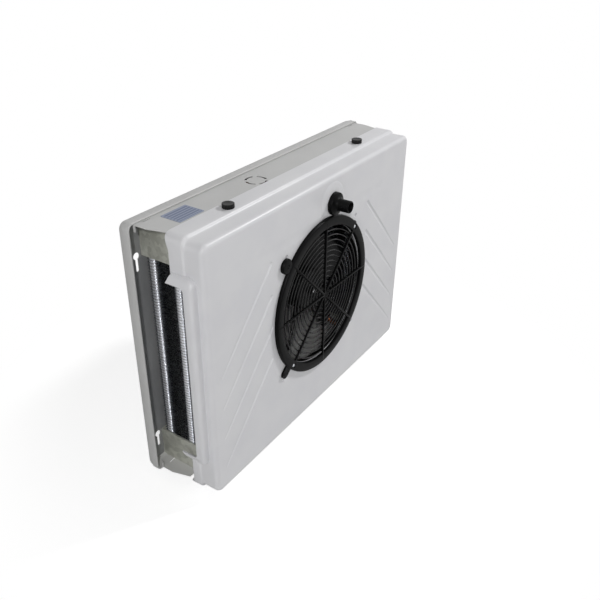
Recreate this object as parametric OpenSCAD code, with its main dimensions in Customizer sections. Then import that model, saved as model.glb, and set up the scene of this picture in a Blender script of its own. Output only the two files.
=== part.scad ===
// Ceiling evaporator unit with two coils, one fan and a moulded drip tray, all in millimetres.
// It stands as photographed: fan face towards -Y, mounting panel at +Y, long side along X, +Z up.
// Depths are counted from the front face of the cover, and heights and widths from the middle of that face.

/* [Casing] */
// Length of the back panel
casing_l = 636; // [600:1:800]
// Height of the back panel, as it stands in the photograph
casing_h = 460; // [440:1:560]
// Depth from the cover's front face to the mounting face
casing_d = 145; // [140:1:190]
// Thickness of the sheet steel
sheet_t = 1; // [0.8:0.1:1.5]
// Depth of the back panel's flange
flange_d = 22; // [16:1:30]
// Depth of the sloped rear part of that flange
slope_d = 11; // [6:1:14]
// How far the sloped part leans in
slope_in = 3; // [1:0.5:6]
// Thickness of the hemmed flange
hem_t = 2.5; // [2:0.1:3.5]
// Corner radius of the back panel
panel_corner_r = 12; // [6:1:20]
// Distance of the keyholes from the ends of the back panel
keyhole_end_gap = 28; // [24:1:34]
// Distance of the keyholes from the long edges of the back panel
keyhole_edge_gap = 60; // [50:1:80]
// How far the keyhole pattern lies below the middle
keyhole_drop = 5; // [0:1:10]
// Radius of a keyhole's head
keyhole_r = 5.7; // [4:0.1:7]
// Width of a keyhole's slot
keyhole_slot_w = 5; // [4:0.1:7]
// Length of a keyhole's slot below its head's centre
keyhole_slot_l = 23; // [14:1:30]

/* [Side panels] */
// How much a side panel is shorter than the back panel at each end
side_end_gap = 11; // [8:1:16]
// Depth of the side panel's front edge, under the cover's lap
side_front_d = 42; // [38:1:50]
// Length of the slant at each end of a side panel
side_slant = 16; // [8:1:24]
// Depth at which the slant starts
slant_d = 100; // [80:1:110]
// Height of the folded front edge
side_fold_h = 9; // [6:1:14]
// Radius of the knockout for pipes
knockout_r = 19; // [12:0.5:22]
// Sideways place of the knockout
knockout_x = -69; // [-120:1:-40]
// Depth of the knockout's centre
knockout_d = 89; // [75:1:95]
// Width of the line punched round the knockout
knockout_w = 3.8; // [1:0.1:4]
// Length of a tab slot
tab_slot_l = 16; // [8:1:24]
// Width of a tab slot
tab_slot_w = 2.4; // [1.4:0.1:3]
// Width of the tab folded down at each rear corner
corner_tab_w = 4; // [3:1:8]
// Height of that tab
corner_tab_h = 11; // [8:1:22]
// Distance of the label plate's middle from the end of the back panel
label_end_gap = 80; // [66:1:120]
// Depth of the label plate's middle
label_d = 94; // [84:1:98]
// Length of the label plate
label_l = 52; // [30:1:70]
// Width of the label plate
label_w = 38; // [20:1:46]
// Thickness of the label plate
label_t = 0.6; // [0.3:0.1:1]

/* [Cover] */
// Wall of the moulded cover
cover_t = 2.7; // [2:0.1:4]
// How much the cover's lap is shorter than the back panel at each end
lap_end_gap = 11; // [8:1:16]
// Depth of the crease between lap and front band
crease_d = 34; // [28:1:38]
// Depth of the lap's rear edge
lap_d = 67; // [60:1:75]
// Depth of the end walls' rear edge
end_wall_d = 60; // [54:1:66]
// Step in from the lap to the front band
crease_step = 5; // [3:0.5:8]
// Corner radius of the lap
lap_corner_r = 24; // [14:1:30]
// Radius of the front face's edges and corners
front_r = 15; // [8:1:18]
// Gap between the lap and a side panel
lap_gap = 0.3; // [0.2:0.1:1]
// Height of the fan's centre above the middle
fan_rise = 12; // [0:1:20]
// Distance of the outlets' lower end from the lower edge of the back panel
outlet_low_gap = 80; // [76:1:110]
// Distance of the outlets' upper end from the upper edge of the back panel
outlet_high_gap = 71; // [68:1:110]
// Depth of the outlets' front edge
outlet_d = 29; // [24:1:34]
// How far the outlets' collars stand out from the end walls
collar_out = 11; // [6:1:14]
// Width of the collar's front bar
collar_w = 14; // [10:1:18]
// Height of the collar's sloped ends
collar_slope = 18; // [10:1:24]
// Width of the diagonal channels
channel_w = 5; // [3:0.5:8]
// Depth of the diagonal channels at their deep end
channel_depth = 1.6; // [0.8:0.1:2]
// Number of channels on each side
channels = 4; // [2:1:5]
// Height from one channel to the next
channel_pitch = 59; // [50:1:66]
// Distance of the channels' inner ends from the guard
channel_guard_gap = 8; // [6:1:16]
// Distance of the channels' outer ends from the end of the lap
channel_end_gap = 30; // [26:1:60]
// Fall of a channel from its inner to its outer end
channel_fall = 136; // [100:1:140]
// Distance of the upper channel's inner end from the top edge of the back panel
channel_top_gap = 94; // [90:1:110]
// Distance of the fold line from the top edge of the back panel
fold_top_gap = 75; // [60:1:80]
// Distance of the fold line's ends from the end of the lap
fold_end_gap = 102; // [80:1:140]

/* [Drain] */
// Sideways place of the drain
drain_x = 26; // [10:1:40]
// Distance of the drain from the top edge of the back panel
drain_top_gap = 53; // [50:1:56]
// Radius of the raised dome round the drain
dome_r = 36; // [30:1:36]
// Height of that dome
dome_h = 2; // [1:0.5:4]
// Radius of the fitting's flange
drain_flange_r = 20; // [16:0.5:24]
// Thickness of the fitting's flange
drain_flange_t = 7; // [4:0.5:8]
// Outer radius of the spigot
spigot_r = 10.5; // [8:0.1:13]
// Inner radius of the spigot
spigot_bore_r = 8; // [5:0.1:9]
// Reach of the spigot in front of the cover's face
spigot_reach = 35; // [25:1:50]

/* [Fan guard] */
// The guard's diameter as a share of the back panel's height
guard_share = 0.63; // [0.5:0.01:0.64]
// Width of the guard's rim
rim_w = 17; // [14:1:20]
// Height of the rim above the cover
guard_h = 6.5; // [5:0.5:10]
// Wall of the guard's rim
guard_t = 2.4; // [2:0.1:3]
// Number of rings
guard_rings = 13; // [8:1:16]
// Gap between the last ring and the rim
rim_gap = 8; // [6:0.5:12]
// Width of a ring
ring_w = 2.6; // [2:0.1:4]
// Radius of the first ring
ring_first_r = 6; // [5:0.5:8]
// Number of spokes
spokes = 8; // [4:1:12]
// Width of a spoke
spoke_w = 3.2; // [2:0.1:5]
// Distance of the guard's screws from its outer edge
guard_screw_gap = 8; // [7:0.5:9]

/* [Fan] */
// How much the blades' reach falls short of the opening
blade_gap = 11; // [6:0.5:14]
// Number of blades
blades = 5; // [3:1:7]
// Thickness of a blade
blade_t = 2.2; // [1.5:0.1:3]
// Pitch of a blade in degrees
blade_pitch = 26; // [18:1:30]
// Angle of the first blade in degrees
blade_start = 20; // [0:1:72]
// Radius of the impeller's hub
hub_r = 38; // [30:1:45]
// Depth of the impeller's hub
hub_d = 30; // [24:1:36]
// Depth at which the hub starts
hub_front_d = 24; // [20:1:28]
// Wall of the shroud
shroud_t = 2.5; // [2:0.1:4]
// Depth of the shroud ring behind the cover
shroud_d = 9; // [6:1:14]
// Radius of the motor's shaft
shaft_r = 4; // [3:0.5:6]
// Outer radius of the motor
motor_r = 42; // [36:1:48]
// Length of the motor
motor_l = 56; // [48:1:64]
// Wall of the motor's housing
motor_t = 2.5; // [2:0.1:4]
// Width of the motor bracket
bracket_w = 116; // [104:1:130]

/* [Coils] */
// Number of fins in a coil
fins = 66; // [40:1:80]
// Thickness of a fin
fin_t = 0.4; // [0.3:0.05:0.8]
// Distance of a coil's outer face from the end of the back panel
coil_end_gap = 40; // [36:1:50]
// Depth of a coil along the air path
coil_w = 66; // [60:1:80]
// Distance of the first row of tubes from a coil's outer face
row_edge = 8; // [7.5:0.5:12]
// Distance from row to row along the air path
row_pitch = 22; // [20:0.5:26]
// Distance between the tubes of one row
tube_pitch = 48; // [44:1:52]
// Radius of a tube
tube_r = 6; // [4:0.5:7]
// Clearance of a tube in its holes
tube_gap = 0.1; // [0.05:0.05:0.3]
// Distance of the fins' upper end from the top edge of the back panel
coil_high_gap = 67; // [64:1:90]
// Distance of the fins' lower end from the lower edge of the back panel
coil_low_gap = 60; // [56:1:90]
// Depth of the fins' front edge
coil_front_d = 40; // [38:1:46]
// Depth of the fins' rear edge
coil_rear_d = 136; // [130:1:140]
// Radius of the liquid line
liquid_r = 5; // [3:0.5:6]
// Distance of the lines from the top edge of the back panel
line_top_gap = 28; // [26:1:30]

/* [Thumb screws] */
// Radius of a thumb screw's head
knob_r = 9.5; // [8:0.5:12]
// Height of a thumb screw's head
knob_h = 7; // [5:0.5:9]
// Radius of a thumb screw's shank
knob_shank_r = 3; // [2.5:0.1:3.5]
// Depth of the thumb screws
knob_d = 50; // [47:1:54]
// Distance of a thumb screw from the end of the back panel
knob_end_gap = 130; // [80:1:160]
// Width of the notch that a thumb screw's shank sits in
notch_w = 7; // [6:0.1:8]

/* [Terminal box] */
// Length of the terminal box
box_l = 78; // [60:1:90]
// Depth of the terminal box
box_d = 36; // [30:1:38]
// Height of the terminal box
box_h = 34; // [28:1:38]
// Wall of the terminal box
box_t = 2; // [1.5:0.1:3]
// Sideways place of the terminal box
box_x = 110; // [90:1:130]

/* [Hidden] */
$fn = 64;
cut = 1;                       // overrun of a cut past a face
seat = 0.3;                    // gap left where one piece rests near another
front_y = -(casing_d - spigot_reach) / 2;
mid_z = knob_h + casing_h / 2;
half_h = casing_h / 2;
half_l = casing_l / 2;
side_l = casing_l - 2 * side_end_gap;
lap_l = casing_l - 2 * lap_end_gap;
keyhole_dx = casing_l - 2 * keyhole_end_gap;
keyhole_dz = casing_h - 2 * keyhole_edge_gap;
label_x = label_end_gap - half_l;
knob_x = half_l - knob_end_gap;
outlet_low = outlet_low_gap - half_h;
outlet_high = half_h - outlet_high_gap;
coil_x = half_l - coil_end_gap;
coil_low = coil_low_gap - half_h;
coil_high = half_h - coil_high_gap;
line_z = half_h - line_top_gap;
drain_z = half_h - drain_top_gap;
fold_z = half_h - fold_top_gap;
fold_half_l = lap_l / 2 - fold_end_gap;
guard_r = casing_h * guard_share / 2;
opening_r = guard_r - rim_w;
blade_r = opening_r - blade_gap;
guard_screw_r = guard_r - guard_screw_gap;
screw_angles = [45, 225];
ring_pitch = (opening_r - ring_first_r - rim_gap) / (guard_rings - 1);
channel_in_x = guard_r + channel_guard_gap;
channel_out_x = lap_l / 2 - channel_end_gap;
channel_top_z = half_h - channel_top_gap;
back_in_d = casing_d - sheet_t;
side_z = half_h - hem_t - 2 * seat;    // outer face of a side panel
lap_in = side_z + lap_gap;     // inner face of the cover's lap
lap_h = 2 * (lap_in + cover_t);
front_l = lap_l - 2 * crease_step;
front_h = lap_h - 2 * crease_step;
lap_base_z = lap_h / 2;
flange_front_d = casing_d - flange_d;
tube_sheet_x = coil_x + 2 * sheet_t;
sheet_top_z = side_z - sheet_t - seat;
rows = 3;
row_x = [for (i = [0:rows - 1]) coil_x - row_edge - i * row_pitch];
tube_d_a = coil_rear_d - tube_pitch / 6;
// Each tube of a coil as [distance from the middle, depth], in the order in which the refrigerant passes
tubes = [
    [row_x[0], tube_d_a], [row_x[0], tube_d_a - tube_pitch],
    [row_x[1], tube_d_a - tube_pitch * 3 / 2], [row_x[1], tube_d_a - tube_pitch / 2],
    [row_x[2], tube_d_a], [row_x[2], tube_d_a - tube_pitch]];
tube_over = 8;                 // how far a tube stands out of its tube sheet
fin_pitch = (coil_high - coil_low - fin_t) / (fins - 1);
suction_r = tube_r;
line_gap = 3;
liquid_line_d = knockout_d + liquid_r + line_gap;
suction_line_d = knockout_d - suction_r - line_gap;
stub_x = 11;                   // distance of each stub from the knockout's middle
tee_wall = 1.2;
tee_l = 30;
rim_in_r = opening_r;
ring_y = 2.4;                  // depth of a ring's section
spoke_y = 2.2;
round_lug_r = 15;
lug_w = 17;
lug_out = 21;                  // reach of a lug past the rim
lug_r = guard_r + 2 * round_lug_r - lug_w;
lug_reach = guard_r + lug_out;
lug_t = 4;
screw_r = 2;
screw_head_r = 4;
screw_head_h = 2.2;
screw_gap = 0.25;
boss_r = 5;
boss_d = 12;
dimple_r = 3.5;
dimple_depth = 1;
hub_t = 2.5;
bore_fit = 0.04;               // running clearance of the shaft
hub_gap = 4;
motor_front_d = hub_front_d + hub_d + hub_gap;
motor_rear_d = motor_front_d + motor_l;
bearing_r = 9;
bearing_w = 7;
core_r = 20;
core_l = 26;
air_gap = 0.6;
bracket_foot = 16;
bracket_t = 1.5;
nut_r = 9;
nut_h = 8;
drain_nut_r = 17;
drain_nut_h = 6;
gasket_t = 1;
clip_w = 14;
knob_shank_l = 13;
flute_r = 1.4;
flutes = 16;
gland_r = 8;
gland_l = 16;
gland_bore_r = 3.5;
box_z = sheet_top_z;
box_wall_d = back_in_d - box_d;
gland_d = box_wall_d + box_d * 5 / 9;
lid_screw_x = box_l / 2 - boss_r + box_t / 2;
clip_x = box_x + box_l / 2 + clip_w;

// Extrudes a face outline, drawn as sideways place and height, from one depth to another
module slab(d1, d2) {
    translate([0, front_y + d2, mid_z]) rotate([90, 0, 0]) linear_extrude(d2 - d1) children();
}

// Extrudes a plan outline, drawn as sideways place and depth, from one height to another
module plank(z1, z2) {
    translate([0, front_y, mid_z + z1]) linear_extrude(z2 - z1) children();
}

// Extrudes an end outline, drawn as depth and height, from one sideways place to another
module wall(x1, x2) {
    translate([x1, front_y, mid_z]) rotate([90, 0, 90]) linear_extrude(x2 - x1) children();
}

// Puts a copy upside down, about the middle height
module flip_z() {
    translate([0, 0, mid_z]) mirror([0, 0, 1]) translate([0, 0, -mid_z]) children();
}

// Turns a shape made along +Z, at a sideways place and height, so that it runs forwards from a depth
module face_at(x, z, d) {
    translate([x, front_y + d, mid_z + z]) rotate([90, 0, 0]) children();
}

module round_rect(w, h, r) {
    square([w - 2 * r, h], center = true);
    square([w, h - 2 * r], center = true);
    for (sx = [-1, 1], sz = [-1, 1]) translate([sx * (w / 2 - r), sz * (h / 2 - r)]) circle(r);
}

module ring_2d(r_out, r_in) {
    difference() {
        circle(r_out, $fn = 128);
        circle(r_in, $fn = 128);
    }
}

// A pipe of straight runs with a ball at each turn, through points given as sideways place, depth and height
module pipe(points, r) {
    for (i = [0:len(points) - 2]) {
        a = points[i];
        b = points[i + 1];
        v = b - a;
        run = norm(v);
        if (run > seat) translate([a[0], front_y + a[1], mid_z + a[2]])
            rotate([0, acos(v[2] / run), atan2(v[1], v[0])]) cylinder(r = r, h = run);
        if (i > 0) translate([a[0], front_y + a[1], mid_z + a[2]]) sphere(r);
    }
}

module keyhole_2d() {
    circle(keyhole_r);
    translate([-keyhole_slot_w / 2, -keyhole_slot_l]) square([keyhole_slot_w, keyhole_slot_l]);
    translate([0, -keyhole_slot_l]) circle(keyhole_slot_w / 2);
}

module back_panel() {
    color("gainsboro") difference() {
        union() {
            slab(flange_front_d, casing_d - slope_d) round_rect(casing_l, casing_h, panel_corner_r);
            hull() {
                slab(casing_d - slope_d - sheet_t, casing_d - slope_d)
                    round_rect(casing_l, casing_h, panel_corner_r, $fn = 32);
                slab(back_in_d, casing_d)
                    round_rect(casing_l - 2 * slope_in, casing_h - 2 * slope_in, panel_corner_r, $fn = 32);
            }
        }
        slab(flange_front_d - cut, casing_d - slope_d)
            round_rect(casing_l - 2 * hem_t, casing_h - 2 * hem_t, panel_corner_r - hem_t);
        slab(casing_d - slope_d - sheet_t, back_in_d)
            round_rect(casing_l - 2 * (hem_t + slope_in), casing_h - 2 * hem_t - seat,
                panel_corner_r - hem_t);
        for (sx = [-1, 1], sz = [-1, 1])
            slab(back_in_d - cut, casing_d + cut)
                translate([sx * keyhole_dx / 2, sz * keyhole_dz / 2 - keyhole_drop]) keyhole_2d();
    }
}

// A side panel's outline, with its front corners cut away to clear the round corners of the cover's lap
module side_outline_2d() {
    half = side_l / 2;
    lap_half = lap_l / 2 - lap_corner_r;
    relief_d = lap_d + sheet_t;
    relief_x = half - side_slant * (slant_d - relief_d) / (slant_d - side_front_d);
    polygon([[-half, back_in_d], [-half, slant_d], [-relief_x, relief_d], [-lap_half, relief_d],
        [-lap_half, side_front_d], [lap_half, side_front_d], [lap_half, relief_d],
        [relief_x, relief_d], [half, slant_d], [half, back_in_d]]);
}

module knockout_2d() {
    difference() {
        ring_2d(knockout_r, knockout_r - knockout_w);
        for (a = [45, 135]) rotate(a) square([2 * knockout_r + cut, knockout_r / 3], center = true);
    }
}

module side_panel() {
    slot_d = flange_front_d - tab_slot_w;
    plank(side_z - sheet_t, side_z) difference() {
        side_outline_2d();
        translate([knockout_x, knockout_d]) knockout_2d();
        for (sx = [-1, 1]) {
            translate([sx * (tube_sheet_x + 2 * tab_slot_w), slot_d])
                square([tab_slot_l, tab_slot_w], center = true);
            translate([sx * side_l / 2, back_in_d])
                square([2 * side_slant * 2 / 3, 2 * flange_d * 2 / 3], center = true);
            translate([sx * knob_x, knob_d]) circle(knob_shank_r + screw_gap);
        }
    }
    for (s = [0, 1]) mirror([s, 0, 0]) wall(side_l / 2 - sheet_t, side_l / 2)
        translate([flange_front_d - corner_tab_w * 2 / 3, side_z - corner_tab_h])
            square([corner_tab_w, corner_tab_h]);
    fold_half = tube_sheet_x - side_fold_h;
    translate([0, front_y + side_front_d, mid_z + side_z - side_fold_h])
        translate([-fold_half, 0, 0]) cube([2 * fold_half, sheet_t, side_fold_h]);
}

module top_side_panel() {
    color("silver") side_panel();
}

module bottom_side_panel() {
    color("silver") flip_z() side_panel();
}

module label_plate() {
    color("lightsteelblue") plank(side_z, side_z + label_t)
        translate([label_x, label_d]) round_rect(label_l, label_w, label_t * 2);
}

// The tube sheet above fins that end at a height; turned upside down it serves the lower end
module tube_sheet(end) {
    web_in = coil_x - coil_w - sheet_t;
    // the web that the tubes pass through
    difference() {
        plank(end + seat, end + seat + sheet_t)
            translate([web_in, coil_front_d]) square([tube_sheet_x - web_in, back_in_d - coil_front_d]);
        for (t = tubes) translate([t[0], front_y + t[1], mid_z + end])
            cylinder(r = tube_r + tube_gap, h = 2 * sheet_t + 2 * seat);
    }
    // the plate that closes the space of the return bends
    wall(tube_sheet_x - sheet_t, tube_sheet_x)
        translate([coil_front_d, end + seat])
            square([back_in_d - coil_front_d, sheet_top_z - end - seat]);
    // the flange against the side panel
    plank(sheet_top_z - sheet_t, sheet_top_z)
        translate([tube_sheet_x - side_fold_h, coil_front_d + side_fold_h])
            square([side_fold_h, back_in_d - coil_front_d - 2 * side_fold_h]);
}

module right_top_tube_sheet() {
    color("darkgray") tube_sheet(coil_high);
}

module left_top_tube_sheet() {
    color("darkgray") mirror([1, 0, 0]) tube_sheet(coil_high);
}

module right_bottom_tube_sheet() {
    color("darkgray") flip_z() tube_sheet(-coil_low);
}

module left_bottom_tube_sheet() {
    color("darkgray") mirror([1, 0, 0]) flip_z() tube_sheet(-coil_low);
}

module coil_fins() {
    for (i = [0:fins - 1]) plank(coil_low + i * fin_pitch, coil_low + i * fin_pitch + fin_t) difference() {
        translate([coil_x - coil_w, coil_front_d]) square([coil_w, coil_rear_d - coil_front_d]);
        for (t = tubes) translate(t) circle(tube_r + tube_gap, $fn = 24);
    }
}

module right_coil_fins() {
    color("lightgray") coil_fins();
}

module left_coil_fins() {
    color("lightgray") mirror([1, 0, 0]) coil_fins();
}

module coil_tubes() {
    for (t = tubes) translate([t[0], front_y + t[1], mid_z + coil_low - tube_over])
        cylinder(r = tube_r, h = coil_high - coil_low + 2 * tube_over);
}

module right_coil_tubes() {
    color("peru") coil_tubes();
}

module left_coil_tubes() {
    color("peru") mirror([1, 0, 0]) coil_tubes();
}

// A half-round bend that joins tube a to tube b above a height
module bend(a, b, z) {
    v = b - a;
    span = norm(v);
    translate([(a[0] + b[0]) / 2, front_y + (a[1] + b[1]) / 2, mid_z + z])
        rotate([90, 0, atan2(v[1], v[0])])
            rotate_extrude(angle = 180) translate([span / 2, 0]) circle(tube_r);
}

module return_bends() {
    top = coil_high + tube_over;
    for (i = [1, 3]) bend(tubes[i], tubes[i + 1], top);
    shift = coil_high + coil_low;
    translate([0, 0, shift]) flip_z() for (i = [0, 2, 4]) bend(tubes[i], tubes[i + 1], top);
}

module right_return_bends() {
    color("peru") return_bends();
}

module left_return_bends() {
    color("peru") mirror([1, 0, 0]) return_bends();
}

// A line from both coils to its tee at the knockout, without the tee itself
module line(tube, d, r, tee_x) {
    top = coil_high + tube_over;
    for (s = [-1, 1]) pipe([[s * tube[0], tube[1], top], [s * tube[0], tube[1], line_z],
        [s * tube[0], d, line_z], [tee_x + s * tee_l / 4, d, line_z]], r);
}

module liquid_line() {
    color("chocolate") line(tubes[0], liquid_line_d, liquid_r, knockout_x - stub_x);
}

module suction_line() {
    color("chocolate") line(tubes[5], suction_line_d, suction_r, knockout_x + stub_x);
}

// The tee with sockets for both branches, and its stub up to the knockout
module tee(d, r, x) {
    stub_h = sheet_top_z - line_gap - line_z;
    translate([x, front_y + d, mid_z + line_z]) difference() {
        union() {
            rotate([0, 90, 0]) cylinder(r = r + tee_wall, h = tee_l, center = true);
            cylinder(r = r + tee_wall, h = stub_h);
        }
        rotate([0, 90, 0]) cylinder(r = r + tube_gap, h = tee_l + 2 * cut, center = true);
        cylinder(r = r, h = stub_h + cut);
    }
}

module liquid_tee() {
    color("goldenrod") tee(liquid_line_d, liquid_r, knockout_x - stub_x);
}

module suction_tee() {
    color("goldenrod") tee(suction_line_d, suction_r, knockout_x + stub_x);
}

// Saddle clips that hold both lines up to the side panel
module pipe_clips() {
    d1 = suction_line_d - suction_r - line_gap;
    d2 = liquid_line_d + liquid_r + line_gap;
    color("dimgray") for (x = [-clip_x, clip_x])
        difference() {
            plank(line_z - suction_r - line_gap, side_z - sheet_t)
                translate([x - clip_w / 2, d1]) square([clip_w, d2 - d1]);
            for (p = [[suction_line_d, suction_r], [liquid_line_d, liquid_r]])
                translate([x, front_y + p[0], mid_z + line_z]) rotate([0, 90, 0])
                    cylinder(r = p[1] + tube_gap, h = clip_w + 2 * cut, center = true);
        }
}

module motor_bracket() {
    foot_x = bracket_w / 2;
    color("gray") difference() {
        union() {
            slab(motor_rear_d + seat, motor_rear_d + seat + bracket_t)
                translate([0, fan_rise]) square([bracket_w, bracket_w * 3 / 4], center = true);
            for (s = [-1, 1]) {
                slab(motor_rear_d + seat, back_in_d - seat)
                    translate([s * (foot_x - bracket_t / 2), fan_rise])
                        square([bracket_t, bracket_w * 3 / 4], center = true);
                slab(back_in_d - seat - bracket_t, back_in_d - seat)
                    translate([s * (foot_x + bracket_foot / 2), fan_rise])
                        square([bracket_foot, bracket_w * 3 / 4], center = true);
            }
        }
        slab(motor_rear_d, back_in_d) for (s = [-1, 1], t = [-1, 1])
            translate([s * (foot_x + bracket_foot / 2), fan_rise + t * bracket_w / 4])
                circle(screw_r + screw_gap);
        slab(motor_rear_d, motor_rear_d + 2 * bracket_t) {
            translate([0, fan_rise]) circle(bearing_r);
            for (s = [-1, 1], t = [-1, 1])
                translate([s * motor_r * 3 / 5, fan_rise + t * motor_r * 3 / 5]) circle(screw_r + screw_gap);
        }
    }
}

// A pan-head screw whose head sits at a depth and whose shank runs backwards
module face_screw(x, z, d, l) {
    face_at(x, z, d) cylinder(r = screw_head_r, h = screw_head_h);
    face_at(x, z, d + l) cylinder(r = screw_r, h = l);
}

module bracket_screws() {
    l = bracket_t + seat;
    color("silver") for (s = [-1, 1], t = [-1, 1])
        face_screw(s * (bracket_w / 2 + bracket_foot / 2), fan_rise + t * bracket_w / 4,
            back_in_d - seat - bracket_t, l);
}

module motor_housing() {
    color("dimgray") difference() {
        face_at(0, fan_rise, motor_rear_d) cylinder(r = motor_r, h = motor_l - motor_t);
        face_at(0, fan_rise, motor_rear_d - motor_t) cylinder(r = motor_r - motor_t, h = motor_l);
        face_at(0, fan_rise, motor_rear_d + cut) cylinder(r = bearing_r + seat / 3, h = motor_l);
        for (s = [-1, 1], t = [-1, 1])
            face_at(s * motor_r * 3 / 5, fan_rise + t * motor_r * 3 / 5, motor_rear_d + cut)
                cylinder(r = screw_r - screw_gap, h = motor_t + 2 * cut);
    }
    // the collar that carries the rear bearing
    color("dimgray") difference() {
        face_at(0, fan_rise, motor_rear_d - motor_t) cylinder(r = bearing_r + motor_t, h = bearing_w);
        face_at(0, fan_rise, motor_rear_d) cylinder(r = bearing_r + seat / 3, h = motor_t + bearing_w + cut);
    }
}

module motor_end_cap() {
    color("gray") difference() {
        union() {
            face_at(0, fan_rise, motor_front_d + motor_t) cylinder(r = motor_r, h = motor_t);
            face_at(0, fan_rise, motor_front_d + motor_t + bearing_w)
                cylinder(r = bearing_r + motor_t, h = bearing_w);
        }
        face_at(0, fan_rise, motor_front_d + motor_t + bearing_w + cut)
            cylinder(r = bearing_r + seat / 3, h = bearing_w + cut);
        face_at(0, fan_rise, motor_front_d + motor_t + cut)
            cylinder(r = shaft_r + seat, h = motor_t + 2 * cut);
    }
}

module motor_screws() {
    color("silver") for (s = [-1, 1], t = [-1, 1]) {
        x = s * motor_r * 3 / 5;
        z = fan_rise + t * motor_r * 3 / 5;
        d = motor_rear_d + seat + bracket_t;
        face_at(x, z, d + screw_head_h) cylinder(r = screw_head_r, h = screw_head_h);
        face_at(x, z, d) cylinder(r = screw_r - 2 * screw_gap, h = bracket_t + seat + motor_t);
    }
}

module motor_stator() {
    mid_d = (motor_front_d + motor_rear_d) / 2;
    color("saddlebrown") slab(mid_d - core_l / 2, mid_d + core_l / 2)
        translate([0, fan_rise]) ring_2d(motor_r - motor_t - seat / 3, core_r + air_gap);
}

module motor_rotor() {
    mid_d = (motor_front_d + motor_rear_d) / 2;
    color("darkslategray") slab(mid_d - core_l / 2, mid_d + core_l / 2)
        translate([0, fan_rise]) ring_2d(core_r, shaft_r + seat / 3);
}

module motor_shaft() {
    shaft_rear_d = motor_rear_d - motor_t;
    shaft_front_d = hub_front_d - nut_h;
    color("lightgray") face_at(0, fan_rise, shaft_rear_d)
        cylinder(r = shaft_r, h = shaft_rear_d - shaft_front_d);
}

module bearing() {
    ring_2d(bearing_r, shaft_r + bore_fit);
}

module motor_front_bearing() {
    d = motor_front_d + motor_t;
    color("lightslategray") slab(d, d + bearing_w) translate([0, fan_rise]) bearing();
}

module motor_rear_bearing() {
    d = motor_rear_d - motor_t - bearing_w;
    color("lightslategray") slab(d, d + bearing_w) translate([0, fan_rise]) bearing();
}

// Outline of one blade along its own radius, drawn as radius and width
module blade_2d() {
    root = hub_r - hub_t;
    root_w = hub_r * 4 / 5;
    tip_w = blade_r * 2 / 3;
    polygon([[root, -root_w / 2], [blade_r * 3 / 5, -tip_w / 2], [blade_r * 6 / 5, -tip_w * 3 / 4],
        [blade_r * 6 / 5, tip_w / 4], [blade_r * 3 / 5, tip_w / 2], [root, root_w / 2]]);
}

module fan_impeller() {
    mid_d = hub_front_d + hub_d / 2;
    color("black") {
        difference() {
            slab(hub_front_d, hub_front_d + hub_d) translate([0, fan_rise]) circle(hub_r);
            slab(hub_front_d + hub_t, hub_front_d + hub_d + cut) translate([0, fan_rise])
                ring_2d(hub_r - hub_t, shaft_r + hub_t);
            slab(hub_front_d - cut, hub_front_d + hub_d + cut) translate([0, fan_rise])
                circle(shaft_r + seat / 3);
        }
        for (i = [0:blades - 1]) intersection() {
            translate([0, front_y + mid_d, mid_z + fan_rise]) rotate([0, -blade_start - i * 360 / blades, 0])
                rotate([90 - blade_pitch, 0, 0]) translate([0, 0, -blade_t / 2])
                    linear_extrude(blade_t) blade_2d();
            slab(hub_front_d - hub_d, hub_front_d + 2 * hub_d) translate([0, fan_rise])
                ring_2d(blade_r, hub_r - hub_t / 2);
        }
    }
}

module impeller_nut() {
    color("dimgray") difference() {
        face_at(0, fan_rise, hub_front_d - seat / 3) {
            cylinder(r = nut_r, h = nut_h / 3);
            cylinder(r = nut_r * 4 / 5, h = nut_h, $fn = 6);
        }
        face_at(0, fan_rise, hub_front_d) cylinder(r = shaft_r + seat / 3, h = nut_h + 2 * cut);
    }
}

// At the two places, across the middle from each other, where the guard is screwed down
module at_screws(r) {
    for (a = screw_angles) translate([r * cos(a), fan_rise + r * sin(a)]) children();
}

// The ring that stiffens the opening's edge, with the bosses that the guard's screws bite in
module fan_shroud() {
    d = cover_t + seat;
    color("black") difference() {
        union() {
            slab(d, d + shroud_t) translate([0, fan_rise]) ring_2d(guard_r, opening_r);
            slab(d, d + shroud_d) translate([0, fan_rise]) ring_2d(opening_r + shroud_t, opening_r);
            slab(d, d + boss_d) at_screws(guard_screw_r) circle(boss_r);
        }
        slab(d - cut, d + boss_d - shroud_t) at_screws(guard_screw_r) circle(screw_r + screw_gap);
    }
}

// Section of the guard's rim, drawn as radius and height above the cover's face
module rim_section() {
    soft = guard_t / 2;
    difference() {
        union() {
            translate([rim_in_r, 0]) square([guard_r - rim_in_r, guard_h - soft]);
            translate([rim_in_r + soft, 0]) square([guard_r - rim_in_r - 2 * soft, guard_h]);
            for (r = [rim_in_r + soft, guard_r - soft]) translate([r, guard_h - soft]) circle(soft);
        }
        translate([rim_in_r + guard_t, -cut])
            square([guard_r - rim_in_r - 2 * guard_t, guard_h - guard_t + cut]);
    }
}

module lug(a) {
    rotate(a) {
        translate([guard_r - guard_t, -lug_w / 2]) square([lug_reach - lug_w / 2 - guard_r + guard_t, lug_w]);
        translate([lug_reach - lug_w / 2, 0]) circle(lug_w / 2);
    }
}

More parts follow.
